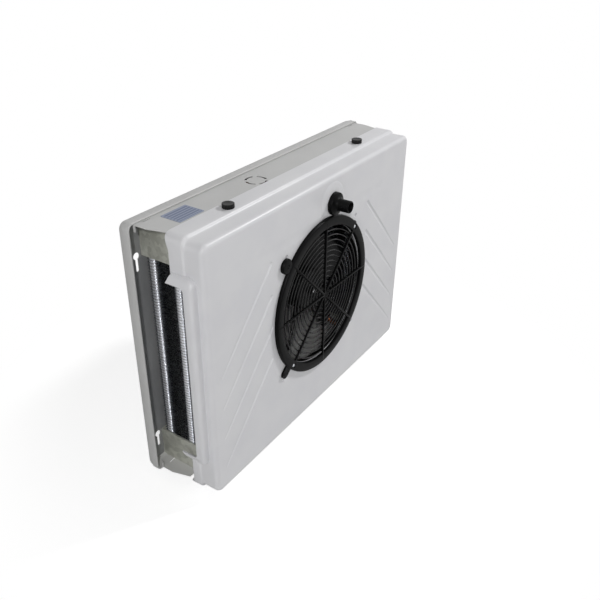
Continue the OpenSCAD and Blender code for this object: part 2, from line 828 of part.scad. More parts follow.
module fan_guard() {
    ring_front = -guard_h + spoke_y;
    color("black") difference() {
        union() {
            face_at(0, fan_rise, -seat) rotate_extrude($fn = 128) rim_section();
            for (i = [0:guard_rings - 1]) slab(ring_front, ring_front + ring_y) translate([0, fan_rise])
                ring_2d(ring_first_r + i * ring_pitch + ring_w / 2,
                    ring_first_r + i * ring_pitch - ring_w / 2);
            for (i = [0:spokes - 1]) slab(-guard_h, ring_front + ring_y / 2)
                translate([0, fan_rise]) rotate(i * 360 / spokes)
                    translate([0, -spoke_w / 2]) square([rim_in_r + guard_t, spoke_w]);
            slab(-lug_t, -seat) translate([0, fan_rise]) {
                lug(225);
                rotate(135) translate([lug_r, 0]) circle(round_lug_r);
                for (a = [0, 45, 270, 315]) rotate(a) translate([guard_r - guard_t, 0])
                    circle(lug_w / 3);
            }
            slab(-guard_h + guard_t / 2, -seat) at_screws(guard_screw_r) circle(boss_r);
        }
        slab(-guard_h - cut, cut) at_screws(guard_screw_r) circle(screw_r + screw_gap);
        slab(-guard_h - cut, -guard_h + guard_t / 2)
            at_screws(guard_screw_r) circle(screw_head_r + screw_gap);
    }
}

module guard_screws() {
    l = guard_h - guard_t / 2 + cover_t + boss_d / 2;
    color("white") for (a = screw_angles)
        face_screw(guard_screw_r * cos(a), fan_rise + guard_screw_r * sin(a),
            -guard_h + guard_t / 2 - seat / 3, l);
}

// The front of the cover with its rounded edges, drawn in by t for the inner side
module front_block(t) {
    r = front_r - t;
    w = front_l - 2 * t;
    h = front_h - 2 * t;
    slab(front_r, crease_d) round_rect(w, h, r);
    slab(t, front_r + cut) square([w - 2 * r, h - 2 * r], center = true);
    for (s = [-1, 1]) {
        translate([0, front_y + front_r, mid_z + s * (h / 2 - r)]) rotate([0, 90, 0])
            cylinder(r = r, h = w - 2 * r, center = true);
        translate([s * (w / 2 - r), front_y + front_r, mid_z])
            cylinder(r = r, h = h - 2 * r, center = true);
    }
    for (sx = [-1, 1], sz = [-1, 1])
        translate([sx * (w / 2 - r), front_y + front_r, mid_z + sz * (h / 2 - r)]) sphere(r);
}

// The diagonal channels, cut deeper towards the fan
module channels_cut() {
    run = channel_out_x - channel_in_x;
    l = norm([run, channel_fall]);
    tilt = atan(channel_depth * 2 / 3 / l);
    for (s = [-1, 1], i = [0:channels - 1]) {
        z = channel_top_z - i * channel_pitch;
        translate([s * channel_in_x, front_y + channel_depth, mid_z + z])
            rotate([0, s > 0 ? atan2(channel_fall, run) : 180 - atan2(channel_fall, run), 0])
                rotate([0, 0, -tilt]) translate([0, -2 * channel_w, -channel_w / 2])
                    cube([l, 2 * channel_w, channel_w]);
    }
}

module outlet_collar() {
    half = lap_l / 2;
    inner = front_l / 2 - cover_t;
    out = half + collar_out;
    front_d = outlet_d - collar_w;
    difference() {
        union() {
            slab(front_d, crease_d + cover_t)
                polygon([[inner, outlet_high + collar_slope], [half, outlet_high + collar_slope],
                    [out, outlet_high + cover_t], [out, outlet_low - cover_t],
                    [half, outlet_low - collar_slope], [inner, outlet_low - collar_slope]]);
            slab(front_d, end_wall_d)
                polygon([[half - cover_t, outlet_high + collar_slope], [half, outlet_high + collar_slope],
                    [out, outlet_high + cover_t], [out, outlet_low - cover_t],
                    [half, outlet_low - collar_slope], [half - cover_t, outlet_low - collar_slope]]);
        }
        // the hollow behind the collar's front wall
        wall(inner - cut, out - cover_t)
            translate([front_d + cover_t, outlet_low]) square([collar_w, outlet_high - outlet_low]);
    }
}

module cover() {
    color("whitesmoke") difference() {
        union() {
            difference() {
                union() {
                    front_block(0);
                    slab(crease_d - sheet_t, lap_d) round_rect(lap_l, lap_h, lap_corner_r);
                    difference() {
                        face_at(drain_x, drain_z, 0)
                            cylinder(r1 = dome_r, r2 = drain_flange_r + cover_t, h = dome_h);
                        slab(-dome_h - cut, 0) translate([0, fan_rise]) circle(guard_r + cut, $fn = 128);
                    }
                }
                front_block(cover_t);
                slab(crease_d - cut, crease_d + cover_t + cut)
                    round_rect(front_l - 2 * cover_t, front_h - 2 * cover_t, front_r - cover_t);
                slab(crease_d + cover_t, lap_d + cut)
                    round_rect(lap_l - 2 * cover_t, lap_h - 2 * cover_t, lap_corner_r - cover_t);
                // the end walls stop short of the lap's rear edge
                for (s = [-1, 1]) slab(end_wall_d, lap_d + cut)
                    translate([s * lap_l / 2, 0])
                        square([2 * lap_corner_r, lap_h - 2 * lap_corner_r], center = true);
                face_at(drain_x, drain_z, cover_t)
                    cylinder(r1 = dome_r - cover_t, r2 = drain_flange_r, h = dome_h);
                channels_cut();
                for (s = [-1, 1]) slab(-cut, channel_depth / 2)
                    translate([s * (fold_half_l + drain_flange_r) / 2, fold_z])
                        square([fold_half_l - drain_flange_r, channel_w], center = true);
            }
            for (s = [0, 1]) mirror([s, 0, 0]) outlet_collar();
        }
        // the outlets
        for (s = [0, 1]) mirror([s, 0, 0])
            wall(lap_l / 2 - 2 * crease_step, lap_l / 2 + collar_out + cut)
                translate([outlet_d, outlet_low]) square([lap_d - outlet_d + cut, outlet_high - outlet_low]);
        // the fan opening, the drain hole and the holes of the guard's screws
        slab(-cut, cover_t + cut) translate([0, fan_rise]) circle(opening_r, $fn = 128);
        face_at(drain_x, drain_z, front_r) cylinder(r = spigot_r + screw_gap, h = front_r + dome_h + cut);
        slab(-cut, cover_t + cut) at_screws(guard_screw_r) circle(screw_r + screw_gap);
        slab(-cut, dimple_depth) translate([0, fan_rise]) for (a = [45, 132, 222, 315])
            rotate(a) translate([lug_r + dimple_r, 0]) circle(dimple_r);
        // the open notches that slide over the thumb screws' shanks
        for (sx = [-1, 1], s = [0, 1]) mirrored_half(s) plank(lap_in - cut, lap_base_z + cut)
            translate([sx * knob_x, knob_d]) {
                circle(notch_w / 2);
                translate([-notch_w / 2, 0]) square([notch_w, lap_d - knob_d + cut]);
            }
    }
}

// The upper half as drawn, or its copy for the lower half
module mirrored_half(lower) {
    if (lower == 1) flip_z() children();
    if (lower == 0) children();
}

module drain_fitting() {
    flange_back = -dome_h - gasket_t;
    color("black") difference() {
        union() {
            face_at(drain_x, drain_z, flange_back)
                cylinder(r1 = drain_flange_r, r2 = drain_flange_r * 9 / 10, h = drain_flange_t);
            face_at(drain_x, drain_z, flange_back - drain_flange_t)
                cylinder(r1 = drain_flange_r * 4 / 5, r2 = spigot_r, h = drain_flange_t / 2);
            face_at(drain_x, drain_z, cover_t + drain_nut_h)
                cylinder(r = spigot_r, h = spigot_reach + cover_t + drain_nut_h);
        }
        face_at(drain_x, drain_z, cover_t + drain_nut_h + cut)
            cylinder(r = spigot_bore_r, h = spigot_reach + cover_t + drain_nut_h + 2 * cut);
    }
}

module drain_gasket() {
    color("dimgray") slab(-dome_h - gasket_t, -dome_h) translate([drain_x, drain_z])
        ring_2d(drain_flange_r, spigot_r + screw_gap);
}

module drain_nut() {
    d = cover_t - dome_h + seat;
    color("black") difference() {
        face_at(drain_x, drain_z, d + drain_nut_h) cylinder(r = drain_nut_r, h = drain_nut_h, $fn = 6);
        face_at(drain_x, drain_z, d + drain_nut_h + cut)
            cylinder(r = spigot_r + seat / 3, h = drain_nut_h + 2 * cut);
    }
}

module thumb_screw() {
    color("black") {
        difference() {
            translate([knob_x, front_y + knob_d, mid_z + lap_base_z + seat / 3])
                cylinder(r = knob_r, h = knob_h);
            for (i = [0:flutes - 1]) translate([knob_x, front_y + knob_d, mid_z + lap_base_z])
                rotate(i * 360 / flutes) translate([knob_r + flute_r / 2, 0, -cut])
                    cylinder(r = flute_r, h = knob_h + 3 * cut);
        }
        translate([knob_x, front_y + knob_d, mid_z + lap_base_z - knob_shank_l])
            cylinder(r = knob_shank_r, h = knob_shank_l + knob_h / 2);
    }
}

module thumb_screw_top_right() {
    thumb_screw();
}

module thumb_screw_top_left() {
    mirror([1, 0, 0]) thumb_screw();
}

module thumb_screw_bottom_right() {
    flip_z() thumb_screw();
}

module thumb_screw_bottom_left() {
    mirror([1, 0, 0]) flip_z() thumb_screw();
}

// The nuts under the side panels that the thumb screws turn in
module screw_clips() {
    top = side_z - sheet_t;
    color("silver") for (sx = [-1, 1], s = [0, 1]) mirrored_half(s) difference() {
        plank(top - 2 * sheet_t - hem_t, top) translate([sx * knob_x, knob_d + clip_w / 12])
            square([clip_w, clip_w - 2 * sheet_t], center = true);
        translate([sx * knob_x, front_y + knob_d, mid_z + top - 3 * hem_t])
            cylinder(r = knob_shank_r + bore_fit, h = 4 * hem_t);
    }
}

module terminal_box() {
    color("gainsboro") difference() {
        plank(box_z - box_h, box_z) translate([box_x - box_l / 2, box_wall_d]) square([box_l, box_d - seat]);
        plank(box_z - box_h + box_t, box_z - box_t)
            translate([box_x - box_l / 2 + box_t, box_wall_d - cut])
                square([box_l - 2 * box_t, box_d - box_t - seat + cut]);
        wall(box_x + box_l / 2 - 2 * box_t, box_x + box_l / 2 + cut)
            translate([gland_d, box_z - box_h / 2]) circle(gland_r * 3 / 4 + screw_gap);
    }
    color("gainsboro") for (s = [-1, 1]) difference() {
        slab(box_wall_d, box_wall_d + box_d / 3)
            translate([box_x + s * lid_screw_x, box_z - box_h / 2]) circle(boss_r - box_t / 2);
        slab(box_wall_d - cut, box_wall_d + box_d / 4)
            translate([box_x + s * lid_screw_x, box_z - box_h / 2]) circle(screw_r + screw_gap);
    }
}

module terminal_box_lid() {
    color("lightgray") difference() {
        slab(box_wall_d - box_t - seat / 3, box_wall_d - seat / 3)
            translate([box_x, box_z - box_h / 2]) round_rect(box_l, box_h, box_t);
        slab(box_wall_d - 2 * box_t, box_wall_d) for (s = [-1, 1])
            translate([box_x + s * lid_screw_x, box_z - box_h / 2]) circle(screw_r + screw_gap);
    }
}

module terminal_lid_screws() {
    color("silver") for (s = [-1, 1])
        face_screw(box_x + s * lid_screw_x, box_z - box_h / 2,
            box_wall_d - box_t - seat / 3, box_t + box_d / 8);
}

module terminal_block() {
    poles = 5;
    l = box_l / 2;
    w = box_h / 2;
    rear = box_wall_d + box_d - box_t - seat;
    color("ivory") difference() {
        slab(rear - w, rear) translate([box_x, box_z - box_h / 2]) square([l, w], center = true);
        for (i = [0:poles - 1]) slab(rear - w - cut, rear - w / 2)
            translate([box_x + (i - (poles - 1) / 2) * l / poles, box_z - box_h / 2 + w / 4]) circle(w / 8);
        for (i = [0:poles - 2]) slab(rear - w - cut, rear - w / 2)
            translate([box_x + (i - (poles - 2) / 2) * l / poles, box_z - box_h / 2 - w / 4])
                square([sheet_t, w], center = true);
    }
}

module cable_gland() {
    x = box_x + box_l / 2 + seat / 3;
    translate([x, front_y + gland_d, mid_z + box_z - box_h / 2]) rotate([0, 90, 0])
        color("dimgray") difference() {
            union() {
                cylinder(r = gland_r, h = gland_l / 4, $fn = 6);
                cylinder(r = gland_r * 4 / 5, h = gland_l);
                translate([0, 0, -2 * box_t]) cylinder(r = gland_r * 3 / 4, h = 2 * box_t + gland_l / 4);
            }
            translate([0, 0, -3 * box_t]) cylinder(r = gland_bore_r, h = gland_l + 4 * box_t);
        }
}

back_panel();
top_side_panel();
bottom_side_panel();
label_plate();
left_top_tube_sheet();
left_bottom_tube_sheet();
right_top_tube_sheet();
right_bottom_tube_sheet();
left_coil_fins();
right_coil_fins();
left_coil_tubes();
right_coil_tubes();
left_return_bends();
right_return_bends();
liquid_line();
suction_line();
liquid_tee();
suction_tee();
pipe_clips();
motor_bracket();
bracket_screws();
motor_housing();
motor_end_cap();
motor_screws();
motor_stator();
motor_rotor();
motor_shaft();
motor_front_bearing();
motor_rear_bearing();
fan_impeller();
impeller_nut();
fan_shroud();
fan_guard();
guard_screws();
cover();
drain_fitting();
drain_gasket();
drain_nut();
screw_clips();
thumb_screw_top_left();
thumb_screw_top_right();
thumb_screw_bottom_left();
thumb_screw_bottom_right();
terminal_box();
terminal_box_lid();
terminal_block();
terminal_lid_screws();
cable_gland();
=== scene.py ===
"""A slim ceiling evaporator for a cold room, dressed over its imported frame.

The unit stands on one long side, as it does in the photograph. Each sub-assembly is a class: the
moulded drip tray, the fan guard, the fan, the drain, the sheet metal casing, the coils, the thumb
screws and the parts inside. Sizes are in millimetres in the classes and in metres in the meshes.
"""

import logging
import math
from collections.abc import Callable, Iterable, Sequence
from dataclasses import dataclass
from enum import Enum
from typing import Any

import bmesh
import bpy
from mathutils import Matrix, Vector

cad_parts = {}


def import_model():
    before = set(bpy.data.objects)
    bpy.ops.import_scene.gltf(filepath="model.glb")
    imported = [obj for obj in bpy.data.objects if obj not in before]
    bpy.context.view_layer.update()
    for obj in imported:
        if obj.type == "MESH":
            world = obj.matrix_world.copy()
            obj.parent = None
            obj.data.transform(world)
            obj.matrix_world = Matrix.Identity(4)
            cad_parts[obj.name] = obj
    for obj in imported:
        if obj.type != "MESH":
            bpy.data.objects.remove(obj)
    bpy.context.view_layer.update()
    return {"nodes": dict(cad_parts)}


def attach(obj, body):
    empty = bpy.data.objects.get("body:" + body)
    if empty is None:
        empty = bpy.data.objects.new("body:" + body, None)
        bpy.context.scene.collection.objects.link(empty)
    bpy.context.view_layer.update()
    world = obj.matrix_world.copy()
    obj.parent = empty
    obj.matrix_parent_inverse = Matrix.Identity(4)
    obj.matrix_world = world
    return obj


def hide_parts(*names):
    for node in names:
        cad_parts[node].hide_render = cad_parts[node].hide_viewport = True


LOG = logging.getLogger("evaporator")
MM = 0.001
# Two places closer than this, in metres, count as one
NEAR = 1e-5
# An edge that covers more than this along an axis, in metres, runs along it
LONG = 5 * MM

# The frame's own places


@dataclass(frozen=True)
class Layout:
    """The sizes that several sub-assemblies share, as the frame has them, in millimetres."""

    front_y: float = -55.0
    mid_z: float = 237.0
    casing_d: float = 145.0
    fan_rise: float = 12.0
    coil_x: float = 278.0
    coil_w: float = 66.0
    coil_front_d: float = 40.0
    coil_rear_d: float = 136.0
    coil_low: float = -170.0
    coil_high: float = 163.0
    row_edge: float = 8.0
    row_pitch: float = 22.0
    tube_pitch: float = 48.0
    knob_x: float = 188.0
    knob_d: float = 50.0

    def at(self, x: float, d: float, z: float) -> Vector:
        """The place, in metres, x sideways, d behind the cover's face and z above its middle."""
        return Vector((x, self.front_y + d, self.mid_z + z)) * MM

    def tubes(self) -> list[tuple[float, float]]:
        """The coil's tubes as distance from the middle and depth, in millimetres.

        Returns:
            Each tube's sideways place and depth, in millimetres.
        """
        first = self.coil_x - self.row_edge
        deep = self.coil_rear_d - self.tube_pitch / 6
        row = [first - i * self.row_pitch for i in range(3)]
        return [
            (row[0], deep),
            (row[0], deep - self.tube_pitch),
            (row[1], deep - self.tube_pitch * 1.5),
            (row[1], deep - self.tube_pitch * 0.5),
            (row[2], deep),
            (row[2], deep - self.tube_pitch),
        ]


PLAN = Layout()


class Side(Enum):
    """The two ends of the unit, as the sign of x."""

    LEFT = -1
    RIGHT = 1


# Finishes


def linear(hex_rgb: str) -> tuple[float, float, float, float]:
    """Turns an sRGB hex colour into the linear values that a shader takes.

    Args:
        hex_rgb: Six hex digits.

    Returns:
        Red, green, blue and an alpha of 1.
    """

    def channel(text: str) -> float:
        """One channel's linear value, from its two hex digits."""
        value = int(text, 16) / 255
        return value / 12.92 if value <= 0.04045 else ((value + 0.055) / 1.055) ** 2.4

    return (channel(hex_rgb[0:2]), channel(hex_rgb[2:4]), channel(hex_rgb[4:6]), 1.0)


def add_node(
    tree: bpy.types.NodeTree,
    kind: str,
    settings: dict[str, Any] | None = None,
    **sockets: Any,
) -> bpy.types.Node:
    """Adds one shader node with its settings and its links.

    Args:
        tree: The material's node tree.
        kind: The node's type, such as ShaderNodeTexNoise.
        settings: Properties of the node itself. "stops" gives a colour ramp's places and sRGB
            hex colours.
        **sockets: Input values by name, with _ for a space, or an output socket to link from. in0 is
            the first input, whatever its name.

    Returns:
        The new node.
    """
    node = tree.nodes.new(kind)
    for name, value in (settings or {}).items():
        if name != "stops":
            setattr(node, name, value)
            continue
        elements = node.color_ramp.elements
        for i, (place, hex_rgb) in enumerate(value):
            element = elements[i] if i < 2 else elements.new(place)
            element.position = place
            element.color = linear(hex_rgb)
    for name, value in sockets.items():
        key = name.replace("_", " ")
        numbered = key.startswith("in") and key[2:].isdigit()
        socket = node.inputs[int(key[2:]) if numbered else key]
        if isinstance(value, bpy.types.NodeSocket):
            tree.links.new(value, socket)
        else:
            socket.default_value = value
    return node


@dataclass(frozen=True)
class Finish:
    """A material with a base colour that varies a little and a fine surface bump."""

    name: str
    color: str
    shade: str
    roughness: float
    metallic: float = 0.0
    ior: float = 1.5
    blotch_mm: float = 60.0
    grain_mm: float = 1.2
    grain_stretch: tuple[float, float, float] = (1.0, 1.0, 1.0)
    bump: float = 0.05
    rough_spread: float = 0.06
    coat: float = 0.0
    specular: float = 0.5

    def build(self) -> bpy.types.Material:
        """Makes the material, or returns it if it is there already.

        Returns:
            The material.
        """
        found = bpy.data.materials.get(self.name)
        if found:
            return found
        material = bpy.data.materials.new(self.name)
        material.use_nodes = True
        tree = material.node_tree
        tree.nodes.clear()
        out = add_node(tree, "ShaderNodeOutputMaterial")
        shader = add_node(
            tree, "ShaderNodeBsdfPrincipled", Metallic=self.metallic, Coat_Weight=self.coat
        )
        shader.inputs["Specular IOR Level"].default_value = self.specular
        if self.metallic == 0.0:
            shader.inputs["IOR"].default_value = self.ior
        tree.links.new(shader.outputs["BSDF"], out.inputs["Surface"])
        place = add_node(tree, "ShaderNodeTexCoord").outputs["Object"]
        self.paint(tree, shader, place)
        return material

    def paint(
        self, tree: bpy.types.NodeTree, shader: bpy.types.Node, place: bpy.types.NodeSocket
    ) -> None:
        """Colours the shader: slow blotches, a fine grain in the bump and a little in the gloss.

        Args:
            tree: The material's node tree.
            shader: The Principled shader.
            place: Object coordinates.
        """
        blotch = add_node(
            tree, "ShaderNodeTexNoise", Vector=place, Scale=1 / (self.blotch_mm * MM), Detail=3.0
        )
        stops = [(0.35, self.shade), (0.65, self.color)]
        tone = add_node(tree, "ShaderNodeValToRGB", {"stops": stops}, Fac=blotch.outputs["Fac"])
        tree.links.new(tone.outputs["Color"], shader.inputs["Base Color"])
        scale = tuple(s / (self.grain_mm * MM) for s in self.grain_stretch)
        stretched = add_node(tree, "ShaderNodeMapping", Vector=place, Scale=scale)
        grain = add_node(
            tree, "ShaderNodeTexNoise", Vector=stretched.outputs["Vector"], Scale=1.0, Detail=2.0
        )
        rough = add_node(
            tree,
            "ShaderNodeMapRange",
            Value=grain.outputs["Fac"],
            From_Min=0.3,
            From_Max=0.7,
            To_Min=max(0.02, self.roughness - self.rough_spread),
            To_Max=min(1.0, self.roughness + self.rough_spread),
        )
        tree.links.new(rough.outputs["Result"], shader.inputs["Roughness"])
        bump = add_node(
            tree,
            "ShaderNodeBump",
            Strength=self.bump,
            Distance=0.0004,
            Height=grain.outputs["Fac"],
        )
        tree.links.new(bump.outputs["Normal"], shader.inputs["Normal"])


@dataclass(frozen=True)
class Spangle(Finish):
    """Hot-dip galvanised sheet: zinc crystals a few millimetres across, each with its own grey."""

    crystal_mm: float = 7.0

    def paint(
        self, tree: bpy.types.NodeTree, shader: bpy.types.Node, place: bpy.types.NodeSocket
    ) -> None:
        """Colours the shader with crystal cells over the fine grain.

        Args:
            tree: The material's node tree.
            shader: The Principled shader.
            place: Object coordinates.
        """
        super().paint(tree, shader, place)
        cells = add_node(
            tree,
            "ShaderNodeTexVoronoi",
            {"feature": "F1"},
            Vector=place,
            Scale=1 / (self.crystal_mm * MM),
            Randomness=1.0,
        )
        grey = add_node(tree, "ShaderNodeSeparateColor", Color=cells.outputs["Color"])
        stops = [(0.0, self.shade), (1.0, self.color)]
        tone = add_node(tree, "ShaderNodeValToRGB", {"stops": stops}, Fac=grey.outputs["Red"])
        tree.links.new(tone.outputs["Color"], shader.inputs["Base Color"])


@dataclass(frozen=True)
class RuledPlate(Finish):
    """A blank rating plate: printed ink rows with empty fields, and no wording."""

    ink: str = "5A6684"
    row_mm: float = 6.0
    gap_share: float = 0.42
    middle: tuple[float, float] = (-238.0, 39.0)
    half: tuple[float, float] = (24.0, 16.5)

    def paint(
        self, tree: bpy.types.NodeTree, shader: bpy.types.Node, place: bpy.types.NodeSocket
    ) -> None:
        """Colours the shader with plain printed rows inside a margin.

        Args:
            tree: The material's node tree.
            shader: The Principled shader.
            place: Object coordinates.
        """
        super().paint(tree, shader, place)
        parts = add_node(tree, "ShaderNodeSeparateXYZ", Vector=place)
        rows = add_node(
            tree,
            "ShaderNodeMath",
            {"operation": "MULTIPLY"},
            in0=parts.outputs["Y"],
            in1=1 / (self.row_mm * MM),
        )
        saw = add_node(tree, "ShaderNodeMath", {"operation": "FRACT"}, in0=rows.outputs[0])
        row = add_node(
            tree,
            "ShaderNodeMath",
            {"operation": "GREATER_THAN"},
            in0=saw.outputs[0],
            in1=self.gap_share,
        )
        inside = row.outputs[0]
        for axis, i in (("X", 0), ("Y", 1)):
            off = add_node(
                tree,
                "ShaderNodeMath",
                {"operation": "SUBTRACT"},
                in0=parts.outputs[axis],
                in1=self.middle[i] * MM,
            )
            far = add_node(tree, "ShaderNodeMath", {"operation": "ABSOLUTE"}, in0=off.outputs[0])
            near = add_node(
                tree,
                "ShaderNodeMath",
                {"operation": "LESS_THAN"},
                in0=far.outputs[0],
                in1=self.half[i] * MM,
            )
            both = add_node(
                tree, "ShaderNodeMath", {"operation": "MULTIPLY"}, in0=inside, in1=near.outputs[0]
            )
            inside = both.outputs[0]
        stops = [(0.0, self.color), (1.0, self.ink)]
        tone = add_node(tree, "ShaderNodeValToRGB", {"stops": stops}, Fac=inside)
        tree.links.new(tone.outputs["Color"], shader.inputs["Base Color"])


# Impact polystyrene, vacuum formed: satin, faintly uneven from the forming, with a cool white
TRAY_PLASTIC = Finish(
    "white_polystyrene_tray",
    "DEDEE0",
    "DADADD",
    0.36,
    ior=1.55,
    bump=0.03,
    grain_mm=2.0,
    specular=0.35,
)
# Powder coated steel sheet: a warmer white than the plastic, with a fine orange peel
POWDER_COAT = Finish("powder_coated_steel", "C4C4C3", "BFBFBE", 0.42, bump=0.10, grain_mm=1.5)
# The same white sheet inside, behind the coils, given a darker grey as painted shade where the pan's
# ends lie in shadow
PAINTED_SHADE_COAT = Finish("painted_shade_grey_sheet", "8E8F90", "858687", 0.5, bump=0.10, grain_mm=1.5)
# Galvanised sheet of the tube sheets and the motor bracket: zinc crystals, half dull
GALVANISED = Spangle(
    "galvanised_sheet", "D2D3C9", "B9BAB0", 0.40, metallic=0.55, bump=0.06, grain_mm=0.8
)
# The fins' own aluminium on the collars drawn up round the tubes, painted brighter and less metallic as
# a painted highlight where they catch the light
COLLAR_PAINTED_HIGHLIGHT = Finish(
    "drawn_aluminium_collar", "F0F1F5", "DADCE0", 0.32, metallic=0.6, blotch_mm=3, bump=0.1
)
# Bare aluminium fin strip: rolled along its length, and dark where it mirrors the next fin
FIN_STRIP = Finish(
    "rolled_aluminium_fin",
    "C6C8CC",
    "B2B4B8",
    0.26,
    metallic=1.0,
    bump=0.12,
    grain_mm=2.0,
    grain_stretch=(1, 1, 8),
)
# Drawn copper tube: browned by handling, in soft patches
COPPER = Finish("drawn_copper_tube", "B26A45", "8A4E34", 0.34, metallic=1.0, blotch_mm=18, bump=0.05)
# Brazed tee: copper that the flame has darkened
BRASS_BRAZED = Finish(
    "brazed_copper_tee", "A5673F", "6E4530", 0.45, metallic=1.0, blotch_mm=9, bump=0.1
)
# Glass-filled polypropylene of the guard and fittings: near black, satin, with a fine spark texture
GUARD_PLASTIC = Finish(
    "black_glass_filled_polypropylene",
    "0B0B0C",
    "080808",
    0.34,
    bump=0.05,
    grain_mm=0.7,
    specular=0.07,
)
# The same plastic on the rings, polished in the mould: each ring glints where it faces the light
RING_PLASTIC = Finish(
    "polished_ring_polypropylene", "0B0B0C", "080808", 0.12, bump=0.02, grain_mm=0.7, specular=0.3
)
# ABS of the fan and its ring: smoother and a little greyer
FAN_PLASTIC = Finish(
    "black_moulded_abs", "0E0E0F", "0A0A0B", 0.28, bump=0.04, grain_mm=1.0, specular=0.25
)
# Nylon of the thumb screws and the gland: matt black with a faint grain
NYLON = Finish("black_nylon", "0E0E0F", "0A0A0A", 0.42, bump=0.08, grain_mm=0.8, specular=0.25)
# Zinc plated steel: bright, faintly blue
ZINC_PLATE = Finish("zinc_plated_steel", "D8DADD", "C4C6CA", 0.22, metallic=1.0, blotch_mm=5, bump=0.03)
# Ground steel of the shaft and the bearings: bright, with fine lines round the axis
GROUND_STEEL = Finish(
    "ground_steel",
    "C9C9CB",
    "B5B5B8",
    0.2,
    metallic=1.0,
    bump=0.05,
    grain_mm=0.5,
    grain_stretch=(1, 0.2, 1),
)
# Die cast aluminium of the motor, shot blasted: dull grey with a sandy grain
CAST_ALUMINIUM = Finish(
    "die_cast_aluminium", "8E9093", "7B7D80", 0.5, metallic=0.9, bump=0.25, grain_mm=0.9
)
# Lacquered laminations of the motor's core: brown-grey, ruled across the stack
LAMINATIONS = Finish(
    "lacquered_laminations",
    "55504C",
    "403C3A",
    0.45,
    metallic=0.6,
    bump=0.3,
    grain_mm=0.6,
    grain_stretch=(0.1, 3, 0.1),
)
# Nitrile rubber of the washer and the clips: dull black
NITRILE = Finish("nitrile_rubber", "232323", "1C1C1C", 0.7, bump=0.15, grain_mm=0.6)
# Terminal block moulded in ivory polyamide: warm and satin
POLYAMIDE = Finish("ivory_polyamide", "E0DAC8", "D4CDB8", 0.4, bump=0.06, grain_mm=0.8)
# Printed aluminium rating plate, left blank: blue-grey with pale rows
RATING_PLATE = RuledPlate("blank_printed_plate", "8791A8", "838DA4", 0.4, blotch_mm=20, bump=0.02)


# The workbench


def deselect() -> None:
    """Leaves edit mode and deselects every object."""
    if bpy.context.mode != "OBJECT":
        bpy.ops.object.mode_set(mode="OBJECT")
    bpy.ops.object.select_all(action="DESELECT")


def only(obj: bpy.types.Object) -> bpy.types.Object:
    """Makes obj the one selected and active object, and returns it.

    Args:
        obj: The object.
    """
    deselect()
    obj.select_set(True)
    bpy.context.view_layer.objects.active = obj
    return obj


def settle(obj: bpy.types.Object) -> bpy.types.Object:
    """Moves obj's place, turn and size into its mesh, so that the object sits at the origin.

    Args:
        obj: The object.

    Returns:
        The same object.
    """
    only(obj)
    bpy.ops.object.transform_apply(location=True, rotation=True, scale=True)
    return obj


def box(name: str, low: Vector, high: Vector) -> bpy.types.Object:
    """Adds a block between two corners.

    Args:
        name: The object's name.
        low: Its lowest corner in metres.
        high: Its highest corner in metres.

    Returns:
        The block, with its place in its mesh.
    """
    deselect()
    bpy.ops.mesh.primitive_cube_add(size=1, location=(low + high) / 2)
    obj = bpy.context.object
    obj.name = name
    obj.scale = high - low
    return settle(obj)


def drum(
    name: str,
    middle: Vector,
    radius: float,
    depth: float,
    toward: Sequence[float] = (0, -1, 0),
    corners: int = 64,
    top_radius: float | None = None,
) -> bpy.types.Object:
    """Adds a cylinder or a cone.

    Args:
        name: The object's name.
        middle: The middle of its length in metres.
        radius: Its radius at the base in metres.
        depth: Its length in metres.
        toward: The way from its base to its top.
        corners: How many sides its circle has.
        top_radius: Its radius at the top, the same as the base's if left out.

    Returns:
        The cylinder, with its place in its mesh.
    """
    deselect()
    turn = Vector((0, 0, 1)).rotation_difference(Vector(toward)).to_euler()
    bpy.ops.mesh.primitive_cone_add(
        vertices=corners,
        radius1=radius,
        radius2=radius if top_radius is None else top_radius,
        depth=depth,
        location=middle,
        rotation=turn,
    )
    obj = bpy.context.object
    obj.name = name
    return settle(obj)


def with_modifier(obj: bpy.types.Object, kind: str, **settings: Any) -> bpy.types.Object:
    """Adds a modifier with its settings and applies it.

    Args:
        obj: The object.
        kind: The modifier's type, such as BEVEL.
        **settings: The modifier's properties.

    Returns:
        The same object.
    """
    only(obj)
    modifier = obj.modifiers.new(kind.lower(), kind)
    for name, value in settings.items():
        setattr(modifier, name, value)
    bpy.ops.object.modifier_apply(modifier=modifier.name)
    return obj


def combine(
    obj: bpy.types.Object, others: Iterable[bpy.types.Object], operation: str = "DIFFERENCE"
) -> bpy.types.Object:
    """Cuts the others out of obj, or adds them to it, and removes them.

    Args:
        obj: The object that stays.
        others: The tools.
        operation: DIFFERENCE or UNION.

    Returns:
        The same object.
    """
    for other in others:
        with_modifier(obj, "BOOLEAN", operation=operation, object=other, solver="EXACT")
        bpy.data.objects.remove(other, do_unlink=True)
    return obj


def joined(name: str, parts: Sequence[bpy.types.Object]) -> bpy.types.Object:
    """Joins loose parts of one piece into one object.

    Args:
        name: The new object's name.
        parts: The parts, the first of which stays.

    Returns:
        The joined object.
    """
    deselect()
    for part in parts:
        part.select_set(True)
    bpy.context.view_layer.objects.active = parts[0]
    if len(parts) > 1:
        bpy.ops.object.join()
    obj = bpy.context.object
    obj.name = name
    return obj


def select_edges(obj: bpy.types.Object, test: Callable[[Vector, Vector], bool]) -> int:
    """Enters edit mode and selects the edges whose two ends pass a test.

    Args:
        obj: The object.
        test: Takes both ends in metres.

    Returns:
        How many edges are selected.
    """
    only(obj)
    bpy.ops.object.mode_set(mode="EDIT")
    bpy.ops.mesh.select_mode(type="EDGE")
    bpy.ops.mesh.select_all(action="DESELECT")
    mesh = bmesh.from_edit_mesh(obj.data)
    count = 0
    for edge in mesh.edges:
        a, b = (v.co for v in edge.verts)
        if test(a, b):
            edge.select_set(True)
            count += 1
    bmesh.update_edit_mesh(obj.data)
    return count


